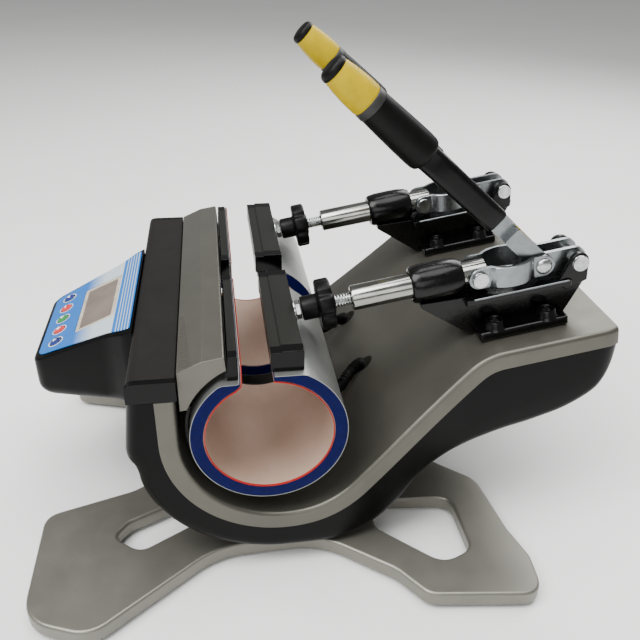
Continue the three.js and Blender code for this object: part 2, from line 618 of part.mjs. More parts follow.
// The handle's parts are drawn in their own frame: origin on the middle pivot, +Y up the handle.
const handleFrame = () => {
  const frame = new THREE.Group();
  frame.position.set(0, -CRANK, 0);
  frame.rotation.x = rad(180 - HANDLE_ANGLE);
  return frame;
};
const HANDLE = {
  sleeve: 46, grip: 117.5, band: 172, end: 204.5, width: 13.6, half: 3.1, fork: 8.9, forkInner: 5.9,
};

// Fork of two plates around the rear and middle pivots, joined into one strap.
function handleStrap() {
  const angle = rad(HANDLE_ANGLE);
  // The rear pivot as seen from the middle pivot in the handle's frame.
  const rear = [-CRANK * Math.cos(angle), -CRANK * Math.sin(angle)];
  const root = rounded([[-8, -7, 5], [34, -HANDLE.width / 2, 2], [34, HANDLE.width / 2, 2], [-8, 7, 5]]);
  const fork = alongX(capsule(rear, [0, 0], 8), -HANDLE.fork, HANDLE.fork)
    .add(alongX(root, -HANDLE.fork, HANDLE.fork));
  const channel = box([-HANDLE.forkInner, -60, -40], [HANDLE.forkInner, 20, 40]);
  const strap = box([-HANDLE.half, 18, -HANDLE.width / 2], [HANDLE.half, HANDLE.end - 12, HANDLE.width / 2]);
  const hole = rod('x', PIN_R + GAP, 60, [0, rear[0], rear[1]], 16);
  return fork.subtract(channel).add(strap).subtract(hole);
}

const strapRoom = (y1) => box(
  [-HANDLE.half - GAP, 0, -HANDLE.width / 2 - GAP], [HANDLE.half + GAP, y1, HANDLE.width / 2 + GAP]);

const SLEEVE = { halfX: 5.4, halfZ: 8.8, corner: 5 };

// Bar of rounded rectangular section along Y.
function roundedBar(halfX, halfZ, radius, y0, y1) {
  const section = rounded([[-halfX, -halfZ, radius], [halfX, -halfZ, radius], [halfX, halfZ, radius],
    [-halfX, halfZ, radius]]);
  return toSolid(extrude(section, y1 - y0, 4).rotateX(-Math.PI / 2).translate(0, y0, 0));
}

// Oval bar along Y that tapers to a share of its section at y1.
function ovalTube(halfX, halfZ, y0, y1, taper = 1, sides = 24) {
  const geometry = new THREE.CylinderGeometry(taper, 1, y1 - y0, sides);
  geometry.translate(0, (y0 + y1) / 2, 0).scale(halfX, 1, halfZ);
  return toSolid(geometry);
}

const GRIP_OVAL = 0.88;
const CAP = 5; // length of the grip's end cap
const STRAP_END = HANDLE.end - 11.5;

function gripBody() {
  const profile = [[0, 0], [10.6, 0], [12.3, 2.5], [12.6, 8], [12.3, 30], [11.5, 54.2], [0, 54.2]]
    .map(([r, y]) => new THREE.Vector2(r, y));
  const geometry = new THREE.LatheGeometry(profile, 24).scale(GRIP_OVAL, 1, 1).translate(0, HANDLE.grip, 0);
  return toSolid(geometry).subtract(strapRoom(STRAP_END));
}

const BAND_R = 11.5;

function gripBand() {
  const solid = ovalTube(BAND_R * GRIP_OVAL, BAND_R, HANDLE.band, HANDLE.end - CAP - GAP, 0.9);
  return solid.subtract(strapRoom(STRAP_END));
}

const CAP_R = 10.3;
const gripCap = () => ovalTube(CAP_R * GRIP_OVAL, CAP_R, HANDLE.end - CAP, HANDLE.end, 0.85);

for (const [side, x] of Object.entries(STATIONS)) {
  const mirror = Math.sign(x);
  const station = new THREE.Group();
  station.position.x = x;
  pieces.add(station);
  piece(`fixed_bar_${side}`, fixedBar(), 'bar', station);
  piece(`moving_bar_${side}`, movingBar(), 'bar', station);
  piece(`heater_wrap_${side}`, wrap(mirror), 'foam', station);
  piece(`cradle_${side}`, cradle(), 'black', station);
  piece(`heater_lead_${side}`, heaterLead(side), 'rubber');

  const clamp = new THREE.Group();
  clamp.position.set(0, PIVOT.y, PIVOT.z);
  clamp.rotation.x = rad(DECK_ANGLE);
  station.add(clamp);
  piece(`clamp_casting_${side}`, casting(), 'cast', clamp);
  piece(`rear_pin_${side}`, rearPin(), 'zinc', clamp);
  piece(`plunger_${side}`, plunger(), 'chrome', clamp);
  piece(`front_pin_${side}`, frontPin(), 'zinc', clamp);
  piece(`link_outer_${side}`, linkPlate(mirror), 'zinc', clamp);
  piece(`link_inner_${side}`, linkPlate(-mirror), 'zinc', clamp);
  piece(`pressure_knob_${side}`, knob(), 'rubber', clamp);
  piece(`jaw_bolt_${side}`, jawBolt(), 'zinc', clamp);

  const handle = handleFrame();
  clamp.add(handle);
  piece(`handle_strap_${side}`, handleStrap(), 'zinc', handle);
  const sleeve = roundedBar(SLEEVE.halfX, SLEEVE.halfZ, SLEEVE.corner, HANDLE.sleeve, HANDLE.grip - GAP)
    .subtract(strapRoom(HANDLE.grip + 30));
  piece(`handle_sleeve_${side}`, sleeve, 'rubber', handle);
  piece(`grip_${side}`, gripBody(), 'rubber', handle);
  piece(`grip_band_${side}`, gripBand(), 'yellow', handle);
  piece(`grip_cap_${side}`, gripCap(), 'rubber', handle);
}

// The origin goes to the centre of the footprint, on the ground.
const bounds = new THREE.Box3().setFromObject(pieces);
pieces.position.y = -(bounds.min.y + bounds.max.y) / 2;

export default pieces;
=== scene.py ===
import json
import math

import bmesh
import bpy
from mathutils import Matrix, Vector


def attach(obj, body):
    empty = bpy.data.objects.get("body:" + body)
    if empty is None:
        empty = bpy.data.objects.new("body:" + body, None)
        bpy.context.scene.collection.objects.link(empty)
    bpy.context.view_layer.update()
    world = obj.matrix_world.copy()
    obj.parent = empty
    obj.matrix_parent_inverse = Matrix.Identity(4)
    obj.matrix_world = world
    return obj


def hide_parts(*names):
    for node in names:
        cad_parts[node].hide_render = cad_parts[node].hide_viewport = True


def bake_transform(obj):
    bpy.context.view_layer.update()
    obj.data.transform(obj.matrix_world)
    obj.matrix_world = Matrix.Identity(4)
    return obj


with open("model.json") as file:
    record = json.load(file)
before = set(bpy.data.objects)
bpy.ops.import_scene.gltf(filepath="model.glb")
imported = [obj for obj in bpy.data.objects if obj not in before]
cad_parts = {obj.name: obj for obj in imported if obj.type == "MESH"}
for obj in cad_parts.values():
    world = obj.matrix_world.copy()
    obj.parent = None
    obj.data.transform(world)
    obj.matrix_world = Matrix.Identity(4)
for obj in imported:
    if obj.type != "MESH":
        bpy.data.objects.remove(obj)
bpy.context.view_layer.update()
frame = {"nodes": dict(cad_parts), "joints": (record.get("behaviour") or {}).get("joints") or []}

MM = 0.001
SIDES = {"right": 1, "left": -1}
ENDS = {1: "near", -1: "far"}  # the two ends of a station, towards +X and -X
WELD = 1e-5  # points closer than this are one point

# ---------------------------------------------------------------- driving dimensions
STATION_X = 73.4
PIVOT = (200, 214)  # rear pivot of a clamp, Y and Z
DECK_ANGLE = 10
CRANK, LINK = 24, 46
HANDLE_ANGLE = 51.2
DECK_DROP = 42
BAR_HALF = 59.3
BODY_HALF, TAIL_HALF = 139, 120
MUG = (-22, 120)  # axis of the wraps, Y and Z
WRAP_INNER, WRAP_OUTER, WRAP_OVERHANG = 43, 53, 5
SADDLE = (-12, 120)
SADDLE_R = 70
RAMP_ANGLE = 44
RIM_DEPTH = 13
SHELL_TOP = 154
DECK_END, TAIL_END = 224, 233
LEAD_HOLE = {"right": 24, "left": -54}
LEAD_HOLE_Y = 65
INLET, SWITCH = (-52, 147), (-84, 147)
PANEL_TOP = (-112.3, 168)
PANEL_ANGLE = 24
PANEL_LENGTH = 83
FRONT_PIN = -(CRANK + LINK)

# The drawing's origin, from a joint whose place is known in both frames.
JOINTS = {joint["name"]: joint for joint in frame["joints"]}
SHIFT_Y = JOINTS["handle_swing_right"]["pos_m"][1] - PIVOT[0] * MM
DRAWING = Matrix.Translation((0, SHIFT_Y, 0))


def turn_x(degrees):
    return Matrix.Rotation(math.radians(degrees), 4, "X")


def move(x, y, z):
    return Matrix.Translation((x * MM, y * MM, z * MM))


PANEL = DRAWING @ move(0, *PANEL_TOP) @ turn_x(PANEL_ANGLE)


def station(side):
    """Frame of a station, whose middle is at X 0."""
    return DRAWING @ move(SIDES[side] * STATION_X, 0, 0)


def clamp(side):
    """Frame of a clamp, with its rear pivot at the origin and its rod along -Y."""
    return station(side) @ move(0, *PIVOT) @ turn_x(DECK_ANGLE)


def handle(side):
    """Frame of a handle at rest, from its pivot on the link out along the grip."""
    return clamp(side) @ move(0, -CRANK, 0) @ turn_x(180 - HANDLE_ANGLE)


# ---------------------------------------------------------------- materials
def node_tree(name):
    material = bpy.data.materials.new(name)
    material.use_nodes = True
    tree = material.node_tree
    return material, tree, tree.nodes["Principled BSDF"]


def coordinates(tree, stretch=(1, 1, 1)):
    """The object's own coordinates, scaled along each axis."""
    texture = tree.nodes.new("ShaderNodeTexCoord")
    mapping = tree.nodes.new("ShaderNodeMapping")
    mapping.inputs["Scale"].default_value = stretch
    tree.links.new(texture.outputs["Object"], mapping.inputs["Vector"])
    return mapping.outputs["Vector"]


def noise(tree, vector, scale, detail=3.0):
    node = tree.nodes.new("ShaderNodeTexNoise")
    node.inputs["Scale"].default_value = scale
    node.inputs["Detail"].default_value = detail
    node.inputs["Roughness"].default_value = 0.55
    tree.links.new(vector, node.inputs["Vector"])
    return node.outputs["Fac"]


def ramp(tree, value, stops):
    """Colour ramp through stops of (place, colour)."""
    node = tree.nodes.new("ShaderNodeValToRGB")
    elements = node.color_ramp.elements
    while len(elements) < len(stops):
        elements.new(1.0)
    for element, (place, colour) in zip(elements, stops):
        element.position = place
        element.color = (*colour, 1)
    tree.links.new(value, node.inputs["Fac"])
    return node.outputs["Color"]


def span(tree, value, low, high, start=0.3, end=0.7):
    """Maps a value from start and end to low and high."""
    node = tree.nodes.new("ShaderNodeMapRange")
    node.inputs["From Min"].default_value = start
    node.inputs["From Max"].default_value = end
    node.inputs["To Min"].default_value = low
    node.inputs["To Max"].default_value = high
    tree.links.new(value, node.inputs["Value"])
    return node.outputs["Result"]


def rgb(code):
    """Linear colour of an sRGB hex code."""
    parts = [int(code[i:i + 2], 16) / 255 for i in (0, 2, 4)]
    return tuple(c / 12.92 if c <= 0.04045 else ((c + 0.055) / 1.055) ** 2.4 for c in parts)


def surface(name, dark, light, roughness, metallic=0.0, patch=40, grain=900, grain_height=0.03,
            coat=0.0, stretch=(1, 1, 1), spread=(0.35, 0.65), specular=0.5):
    """Surface whose colour drifts between two tones, with uneven gloss and a fine grain."""
    material, tree, shader = node_tree(name)
    vector = coordinates(tree, stretch)
    tone = ramp(tree, noise(tree, vector, patch), [(spread[0], rgb(dark)), (spread[1], rgb(light))])
    tree.links.new(tone, shader.inputs["Base Color"])
    gloss = span(tree, noise(tree, vector, patch * 2.7, 4.0), *roughness)
    tree.links.new(gloss, shader.inputs["Roughness"])
    bump = tree.nodes.new("ShaderNodeBump")
    bump.inputs["Strength"].default_value = 0.6
    bump.inputs["Distance"].default_value = grain_height * MM
    tree.links.new(noise(tree, vector, grain, 2.0), bump.inputs["Height"])
    tree.links.new(bump.outputs["Normal"], shader.inputs["Normal"])
    shader.inputs["Metallic"].default_value = metallic
    shader.inputs["Coat Weight"].default_value = coat
    shader.inputs["Coat Roughness"].default_value = 0.12
    shader.inputs["Specular IOR Level"].default_value = specular
    return material


PAINT = surface("satin_silver_paint", "58564f", "5c5a52", (0.34, 0.42), 0.7, 26, 1400, 0.015)
BASE_PAINT = surface("satin_base_paint", "74726a", "7a786f", (0.34, 0.42), 0.65, 22, 1400, 0.015)
COVER_PAINT = surface("satin_cover_paint", "5d5b54", "615f58", (0.32, 0.4), 0.65, 30, 1400, 0.015)
SHELL_BLACK = surface("black_shell_plastic", "020202", "040404", (0.3, 0.38), 0, 30, 1100, 0.02, specular=0.1)
BEAM_BLACK = surface("beam_satin_black", "12100e", "151310", (0.46, 0.54), 0.1, 45, 1600, 0.02, specular=0.25)
GLOSS_BLACK = surface("gloss_black_cap", "020202", "040404", (0.12, 0.18), 0, 50, 700, 0.01, coat=0.04,
                      specular=0.15)
CASE_BLACK = surface("controller_black", "020202", "040404", (0.32, 0.42), 0, 40, 1500, 0.03, specular=0.12)
BAR_DARK = surface("bar_anodised", "171814", "1b1c18", (0.38, 0.46), 0.4, 55, 1200, 0.015,
                   stretch=(0.15, 1, 1), specular=0.35)
CAST_BLACK = surface("cast_black_enamel", "020202", "040404", (0.18, 0.3), 0, 90, 420, 0.16, coat=0.1,
                     specular=0.22)
# Rod chrome: the darker and lighter streaks along the rod are painted reflections.
CHROME_REFLECTION_STREAKS = surface("chrome_painted_reflection_streaks", "7f7f7b", "9b9b96", (0.1, 0.2), 1.0, 120, 900, 0.01, stretch=(1, 0.3, 1))
ZINC = surface("zinc_plate", "7d8183", "8f9394", (0.26, 0.34), 1.0, 150, 900, 0.012, spread=(0.2, 0.8))
BOLT_ZINC = surface("bright_zinc", "a8abab", "d0d2d0", (0.14, 0.28), 1.0, 200, 900, 0.02)
FOAM_NAVY = surface("silicone_foam_navy", "01053c", "010644", (0.55, 0.7), 0, 160, 1300, 0.06, specular=0.1)
SKIN_GREY = surface("wrap_skin_silver", "8e908e", "989a97", (0.34, 0.4), 0.75, 60, 1700, 0.008)
TRIM_RED = surface("wrap_trim_red", "a00c06", "ac1209", (0.4, 0.55), 0, 150, 1200, 0.03, specular=0.3)
LINER_BEIGE = surface("wrap_liner_beige", "a88f7e", "ae9585", (0.42, 0.5), 0, 30, 1300, 0.02, specular=0.4)
RUBBER = surface("black_rubber", "030303", "060606", (0.6, 0.75), 0, 90, 1300, 0.05, specular=0.12)
KNOB_BLACK = surface("knob_black_phenolic", "020202", "050505", (0.34, 0.46), 0, 90, 1100, 0.03,
                     specular=0.15)
VINYL = surface("vinyl_sleeve_black", "030303", "050505", (0.24, 0.34), 0, 60, 800, 0.03, specular=0.2)
GRIP_BLACK = surface("grip_soft_black", "030303", "060605", (0.4, 0.52), 0, 70, 1300, 0.04, specular=0.15)
GRIP_YELLOW = surface("grip_yellow", "b09600", "baa000", (0.34, 0.44), 0, 110, 1100, 0.02, specular=0.15)
GRIP_GREY = surface("grip_ring_grey", "262626", "2e2e2d", (0.36, 0.5), 0, 90, 1100, 0.03, specular=0.3)
STICKER = surface("sticker_yellow", "b09600", "baa000", (0.3, 0.4), 0, 180, 900, 0.01, specular=0.15)
LEAD_BLACK = surface("lead_sleeve_black", "030303", "070706", (0.45, 0.6), 0, 200, 1500, 0.06, specular=0.12)
# Cradle: partly the cradle's own black steel, partly painted shade in the gap round each wrap.
CRADLE_BLACK_AND_SHADE = surface("cradle_black_steel_and_painted_shade", "0b0b0a", "161513", (0.4, 0.55), 0.4, 60, 900, 0.04)
BOARD_GREEN = surface("board_green", "12401f", "1e6033", (0.3, 0.45), 0, 140, 900, 0.03)
LCD_GREY = surface("lcd_glass", "5d5249", "746a60", (0.08, 0.14), 0, 18, 500, 0.005, coat=0.5)
LCD_FRAME = surface("lcd_bezel_beige", "a69b8b", "bdb3a3", (0.35, 0.5), 0, 90, 1100, 0.03)
SYMBOL_WHITE = surface("symbol_white", "d9d9d6", "efefec", (0.4, 0.5), 0, 200, 900, 0.01)
BUTTON_FINISH = {
    "navy": surface("button_navy", "131f52", "1f3175", (0.3, 0.42), 0, 120, 1000, 0.03),
    "red": surface("button_red", "b8252b", "d63a3e", (0.3, 0.42), 0, 120, 1000, 0.03),
    "green": surface("button_green", "1f6b33", "2f8746", (0.3, 0.42), 0, 120, 1000, 0.03),
}


def label_material():
    """Printed film: a plain blue field with light stripes across its upper end."""
    material, tree, shader = node_tree("label_printed_film")
    texture = tree.nodes.new("ShaderNodeTexCoord")
    parts = tree.nodes.new("ShaderNodeSeparateXYZ")
    tree.links.new(texture.outputs["Object"], parts.inputs["Vector"])
    along = span(tree, parts.outputs["Y"], 0, 1, -PANEL_LENGTH * MM, 0)
    blue, deep, pale = rgb("1266b4"), rgb("0a4288"), rgb("b9c6cb")
    stops = [(0.0, deep), (0.02, blue), (0.40, blue), (0.60, pale), (0.80, pale), (0.803, blue)]
    for k in range(5):  # thin stripes towards the beam
        start = 0.835 + 0.03 * k
        stops += [(start, blue), (start + 0.003, pale), (start + 0.009, pale), (start + 0.012, blue)]
    stripes = ramp(tree, along, stops)
    drift = noise(tree, texture.outputs["Object"], 60)
    shade = tree.nodes.new("ShaderNodeMix")
    shade.data_type = "RGBA"
    shade.blend_type = "MULTIPLY"
    tree.links.new(span(tree, drift, 0.0, 0.18), shade.inputs["Factor"])
    tree.links.new(stripes, shade.inputs["A"])
    shade.inputs["B"].default_value = (0.6, 0.7, 0.8, 1)
    tree.links.new(shade.outputs["Result"], shader.inputs["Base Color"])
    tree.links.new(span(tree, drift, 0.26, 0.36), shader.inputs["Roughness"])
    shader.inputs["Coat Weight"].default_value = 0.2
    return material


LABEL_BLUE = label_material()
LABEL_PALE = surface("label_pale_print", "aeb9bd", "c9d2d4", (0.26, 0.36), 0, 90, 900, 0.01)


# ---------------------------------------------------------------- mesh building
def arc(centre, radius, start, end, steps):
    """Points on an arc in a plane, from one angle in degrees to another."""
    angles = [math.radians(start + (end - start) * i / steps) for i in range(steps + 1)]
    return [(centre[0] + radius * math.cos(a), centre[1] + radius * math.sin(a)) for a in angles]


def rounded(points, steps=6):
    """Polygon with rounded corners; each point is (a, b, radius)."""
    outline = []
    for i, (a, b, radius) in enumerate(points):
        corner = Vector((a, b))
        before = Vector(points[i - 1][:2]) - corner
        after = Vector(points[(i + 1) % len(points)][:2]) - corner
        if not radius:
            outline.append((a, b))
            continue
        half = before.angle(after) / 2
        reach = min(radius / math.tan(half), before.length * 0.49, after.length * 0.49)
        first = corner + before.normalized() * reach
        last = corner + after.normalized() * reach
        for k in range(steps + 1):
            t = k / steps
            point = first * (1 - t) ** 2 + corner * 2 * t * (1 - t) + last * t * t
            outline.append((point.x, point.y))
    return outline


def mirrored(side):
    """A closed outline from its right half, listed from one end to the other."""
    return [*side, *[(-x, y, r) for x, y, r in reversed(side)]]


def piece(name, bm, place, body, materials, replaces=(), smooth=35):
    """Finishes a mesh as a named piece of the object that rides on a body."""
    bmesh.ops.recalc_face_normals(bm, faces=bm.faces)
    mesh = bpy.data.meshes.new(name)
    bm.to_mesh(mesh)
    bm.free()
    mesh.transform(Matrix.Diagonal((MM, MM, MM, 1)))
    for material in materials if isinstance(materials, (list, tuple)) else [materials]:
        mesh.materials.append(material)
    for face in mesh.polygons:
        face.use_smooth = True
    mesh.set_sharp_from_angle(angle=math.radians(smooth))
    obj = bpy.data.objects.new(name, mesh)
    bpy.context.scene.collection.objects.link(obj)
    obj.matrix_world = place
    if body:
        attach(obj, body)
    if replaces:
        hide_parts(*replaces)
    return obj


def soften(obj, width, segments=3, angle=32):
    """Rounds the edges of a piece without changing its mesh."""
    bevel = obj.modifiers.new("edge_rounding", "BEVEL")
    bevel.width = width * MM
    bevel.segments = segments
    bevel.limit_method = "ANGLE"
    bevel.angle_limit = math.radians(angle)
    bevel.miter_outer = "MITER_ARC"
    return obj


def loft(rings, caps=True, bm=None, material=0):
    """Skin over a row of rings that have the same number of points."""
    bm = bm or bmesh.new()
    rows = [[bm.verts.new(point) for point in ring] for ring in rings]
    count = len(rows[0])
    for lower, upper in zip(rows, rows[1:]):
        for i in range(count):
            k = (i + 1) % count
            bm.faces.new((lower[i], lower[k], upper[k], upper[i])).material_index = material
    if caps:
        bm.faces.new(rows[0][::-1]).material_index = material
        bm.faces.new(rows[-1]).material_index = material
    return bm


def prism(outline, low, high, axis="x", bm=None):
    """Outline extruded along an axis; the outline lies in the other two, in cyclic order."""
    order = {"x": lambda a, b, c: (c, a, b), "y": lambda a, b, c: (b, c, a), "z": lambda a, b, c: (a, b, c)}
    return loft([[order[axis](a, b, c) for a, b in outline] for c in (low, high)], bm=bm)


def lathe(profile, axis, steps, centre=(0, 0, 0), squeeze=1.0, bm=None, hollow=False):
    """Turned solid; the profile is a list of (place along the axis, radius), closed if hollow."""
    rings = []
    for along, radius in profile:
        ring = []
        for i in range(steps):
            angle = 2 * math.pi * i / steps
            a, b = radius * math.cos(angle) * squeeze, radius * math.sin(angle)
            point = {"x": (along, a, b), "y": (a, along, b), "z": (a, b, along)}[axis]
            ring.append([p + c for p, c in zip(point, centre)])
        rings.append(ring)
    if hollow:
        bm = loft([*rings, rings[0]], caps=False, bm=bm)
        bmesh.ops.remove_doubles(bm, verts=bm.verts, dist=WELD)
        return bm
    return loft(rings, bm=bm)


def tube(path, radii, sides):
    """Round bar along a path, with one radius or a radius at each point."""
    points = [Vector(p) for p in path]
    across = Vector((1, 0, 0))
    rings = []
    for i, point in enumerate(points):
        ahead = (points[min(i + 1, len(points) - 1)] - points[max(i - 1, 0)]).normalized()
        across = (across - ahead * across.dot(ahead)).normalized()
        up = ahead.cross(across)
        radius = radii[i] if isinstance(radii, (list, tuple)) else radii
        rings.append([point + across * radius * math.cos(2 * math.pi * k / sides)
                      + up * radius * math.sin(2 * math.pi * k / sides) for k in range(sides)])
    return loft(rings)


def smooth_path(points, per_span=8):
    """Catmull-Rom curve through points."""
    points = [Vector(p) for p in points]
    full = [2 * points[0] - points[1], *points, 2 * points[-1] - points[-2]]
    path = []
    for a, b, c, d in zip(full, full[1:], full[2:], full[3:]):
        for k in range(per_span):
            t = k / per_span
            path.append(0.5 * (2 * b + (c - a) * t + (2 * a - 5 * b + 4 * c - d) * t * t
                               + (3 * b - a - 3 * c + d) * t ** 3))
    path.append(points[-1])
    return path


def cut(obj, *cutters):
    """Subtracts solids given as meshes in the piece's own drawing units."""
    for bm in cutters:
        bmesh.ops.recalc_face_normals(bm, faces=bm.faces)
        mesh = bpy.data.meshes.new("cutter")
        bm.to_mesh(mesh)
        bm.free()
        mesh.transform(Matrix.Diagonal((MM, MM, MM, 1)))
        tool = bpy.data.objects.new("cutter", mesh)
        bpy.context.scene.collection.objects.link(tool)
        tool.matrix_world = obj.matrix_world
        step = obj.modifiers.new("cut", "BOOLEAN")
        step.operation = "DIFFERENCE"
        step.solver = "EXACT"
        step.object = tool
        bpy.context.view_layer.update()
        result = bpy.data.meshes.new_from_object(obj.evaluated_get(bpy.context.evaluated_depsgraph_get()))
        obj.modifiers.clear()
        obj.data = result
        bpy.data.objects.remove(tool)
    obj.data.set_sharp_from_angle(angle=math.radians(35))
    return obj


def box(low, high):
    """Box between two corners, in the piece's own drawing units."""
    (x0, y0, z0), (x1, y1, z1) = low, high
    return prism([(y0, z0), (y1, z0), (y1, z1), (y0, z1)], x0, x1)


# ---------------------------------------------------------------- body
WAIST_START, WAIST_LENGTH = 5, 130
TAIL_CORNER = 18


def half_width(y):
    """Half width of the body, which narrows smoothly from the heaters to the deck."""
    t = min(max((y - WAIST_START) / WAIST_LENGTH, 0), 1)
    width = BODY_HALF + (TAIL_HALF - BODY_HALF) * t * t * (3 - 2 * t)
    over = min(max(y - (TAIL_END - TAIL_CORNER), 0), TAIL_CORNER)
    return width - TAIL_CORNER + math.sqrt(TAIL_CORNER ** 2 - over ** 2)


def saddle_line():
    """Stations of the body's top: each is its point in (Y, Z) and the direction into the body."""
    stop = 270 + RAMP_ANGLE
    saddle = arc(SADDLE, SADDLE_R, 180, stop, 60)
    points = [(p, math.radians(180 + (stop - 180) * i / 60)) for i, p in enumerate(saddle)]
    front = SADDLE[0] - SADDLE_R
    line = [((front, SHELL_TOP + (SADDLE[1] - SHELL_TOP) * i / 10), (-1, 0)) for i in range(10)]
    line += [(p, (math.cos(a), math.sin(a))) for p, a in points]
    slope, rise = math.radians(RAMP_ANGLE), math.radians(DECK_ANGLE)
    foot_y, foot_z = points[-1][0]
    deck_z = PIVOT[1] - DECK_DROP / math.cos(rise) - PIVOT[0] * math.tan(rise)
    bend_y = (deck_z - foot_z + foot_y * math.tan(slope)) / (math.tan(slope) - math.tan(rise))
    bend_z = deck_z + bend_y * math.tan(rise)
    fillet = 46
    reach = fillet * math.tan((slope - rise) / 2)
    start = (bend_y - reach * math.cos(slope), bend_z - reach * math.sin(slope))
    for i in range(1, 24):
        t = i / 24
        line.append(((foot_y + (start[0] - foot_y) * t, foot_z + (start[1] - foot_z) * t),
                     (math.sin(slope), -math.cos(slope))))
    centre = (start[0] + fillet * math.sin(slope), start[1] - fillet * math.cos(slope))
    for i in range(17):
        a = slope + (rise - slope) * i / 16
        line.append(((centre[0] - fillet * math.sin(a), centre[1] + fillet * math.cos(a)),
                     (math.sin(a), -math.cos(a))))
    last_y = line[-1][0][0]
    for i in range(1, 37):
        y = last_y + (DECK_END - last_y) * i / 36
        line.append(((y, deck_z + y * math.tan(rise)), (math.sin(rise), -math.cos(rise))))
    return line


def upper_shell():
    """Silver skin of the saddle, ramp and deck, down to the rim's lower edge."""
    radius = 3.2
    corner = [(1 - math.cos(math.radians(a)), 1 - math.sin(math.radians(a))) for a in range(0, 91, 15)]
    rings = []
    for (y, z), (ny, nz) in saddle_line():
        wide = half_width(y)
        right = [(wide, RIM_DEPTH), (wide, RIM_DEPTH * 0.62)]
        right += [(wide - radius * inward, radius * down) for inward, down in corner]
        right += [(wide * k, 0) for k in (0.85, 0.6, 0.3)]
        section = right + [(0, 0)] + [(-x, d) for x, d in reversed(right)]
        rings.append([(x, y + ny * d, z + nz * d) for x, d in section])
    shell = piece("shell_top", loft(rings), DRAWING, "root", PAINT, ["upper_shell"])
    holes = [lathe([(60, 6.5), (130, 6.5)], "z", 32, (x, LEAD_HOLE_Y, 0)) for x in LEAD_HOLE.values()]
    cut(shell, *holes)
    soften(shell, 1.2)


# Underside in Y and Z: a free curve at the tail, a quarter oval in the middle and the front's last stretch.
BELLY_TAIL = [(232, 163), (229.5, 143), (219, 124), (199, 109), (174, 99), (148, 91), (112, 76), (90, 61),
              (76, 43), (60, 28), (42, 19), (26, 15.5)]
BELLY_MIDDLE, BELLY_RADII = (SADDLE[0], 104), (100, 88.5)
BELLY_FRONT = [(-110.9, 95), (-112.4, 101.5), (-115.2, 106), (-116.8, 110), (-117, 115), (-112.4, SHELL_TOP)]
BELLY_STEPS = 400


def run_lengths(points):
    """Length along a line of points up to each of them."""
    lengths = [0.0]
    for a, b in zip(points, points[1:]):
        lengths.append(lengths[-1] + (b - a).length)
    return lengths


def belly_line():
    """Underside of the body from the front edge to the tail, as evenly spaced points."""
    tail = [(v.x, v.y) for v in smooth_path([(y, z, 0) for y, z in BELLY_TAIL], 8)]
    angles = [math.radians(-90 - 78 * i / 22) for i in range(23)]
    middle = [(BELLY_MIDDLE[0] + BELLY_RADII[0] * math.cos(a), BELLY_MIDDLE[1] + BELLY_RADII[1] * math.sin(a))
              for a in angles]
    points = [Vector(p) for p in [*tail, *middle, *BELLY_FRONT]][::-1]
    lengths = run_lengths(points)
    line, k = [], 0
    for i in range(BELLY_STEPS + 1):
        target = lengths[-1] * i / BELLY_STEPS
        while k < len(points) - 2 and lengths[k + 1] < target:
            k += 1
        share = (target - lengths[k]) / max(lengths[k + 1] - lengths[k], 1e-9)
        line.append(points[k].lerp(points[k + 1], min(share, 1)))
    return line


def side_shell():
    """Black shell between the rim and the underside, with a rounded lower edge."""
    top = [(Vector(p) + Vector(n) * (RIM_DEPTH + 0.3)) for p, n in saddle_line()]
    lengths = run_lengths(top)
    belly = belly_line()
    radius = 8
    rings = []
    for point, length in zip(top, lengths):
        under = belly[round(BELLY_STEPS * length / lengths[-1])]
        down = (under - point).normalized()
        depth = (under - point).length
        section = []
        for share in (0, 0.25, 0.5, 0.75, 1.0):
            section.append((0, share * (depth - radius)))
        for a in range(15, 91, 15):
            inward = radius * (1 - math.cos(math.radians(a)))
            section.append((inward, depth - radius + radius * math.sin(math.radians(a))))
        ring = []
        for inward, d in section:
            spot = point + down * d
            ring.append((half_width(spot.x) - inward, spot.x, spot.y))
        ring.append((0, *(point + down * depth)))
        ring += [(-x, y, z) for x, y, z in reversed(ring[:-1])]
        rings.append(ring)
    shell = piece("shell_side", loft(rings), DRAWING, "root", SHELL_BLACK, ["lower_shell"])
    inside, outside = 212, 252
    holes = [box((x - half_x, inside, z - half_z), (x + half_x, outside, z + half_z))
             for (x, z), half_x, half_z in ((INLET, 14.5, 10.5), (SWITCH, 9, 5.6))]
    soften(cut(shell, *holes), 0.8)


def base_plate():
    """Four-armed plate, with a slot in each front arm and a window in each rear arm."""
    side = [(34, -84, 30), (62, -128, 40), (82, -193, 15), (178, -192, 32), (196, -146, 26), (131, -62, 60),
            (129, 14, 60), (168, 64, 30), (193, 82, 16), (202.8, 162, 26), (168, 165, 18), (140, 158, 20),
            (84, 152, 24), (40, 104, 40)]
    low, high = 3, 15
    plate = piece("base", prism(rounded(mirrored(side), 14), low, high, "z"), DRAWING, "root", BASE_PAINT,
                  ["base_plate"])
    slot = [(60, -52, 10), (84, -44, 10), (127, -118, 12), (111, -139, 12), (97, -128, 12)]
    window = [(97, 58, 10), (126, 58, 12), (166, 100, 18), (156, 124, 14), (102, 124, 14)]
    holes = [prism(rounded([(s * x, y, r) for x, y, r in shape], 14), -5, 25, "z")
             for s in (1, -1) for shape in (slot, window)]
    soften(cut(plate, *holes), 2.2, 4)


upper_shell()
side_shell()
base_plate()

# ---------------------------------------------------------------- cover and controller
COVER_HALF = 133
COVER_FRONT, COVER_RIDGE = (-79.8, 171.5), (-63.5, 178.8)


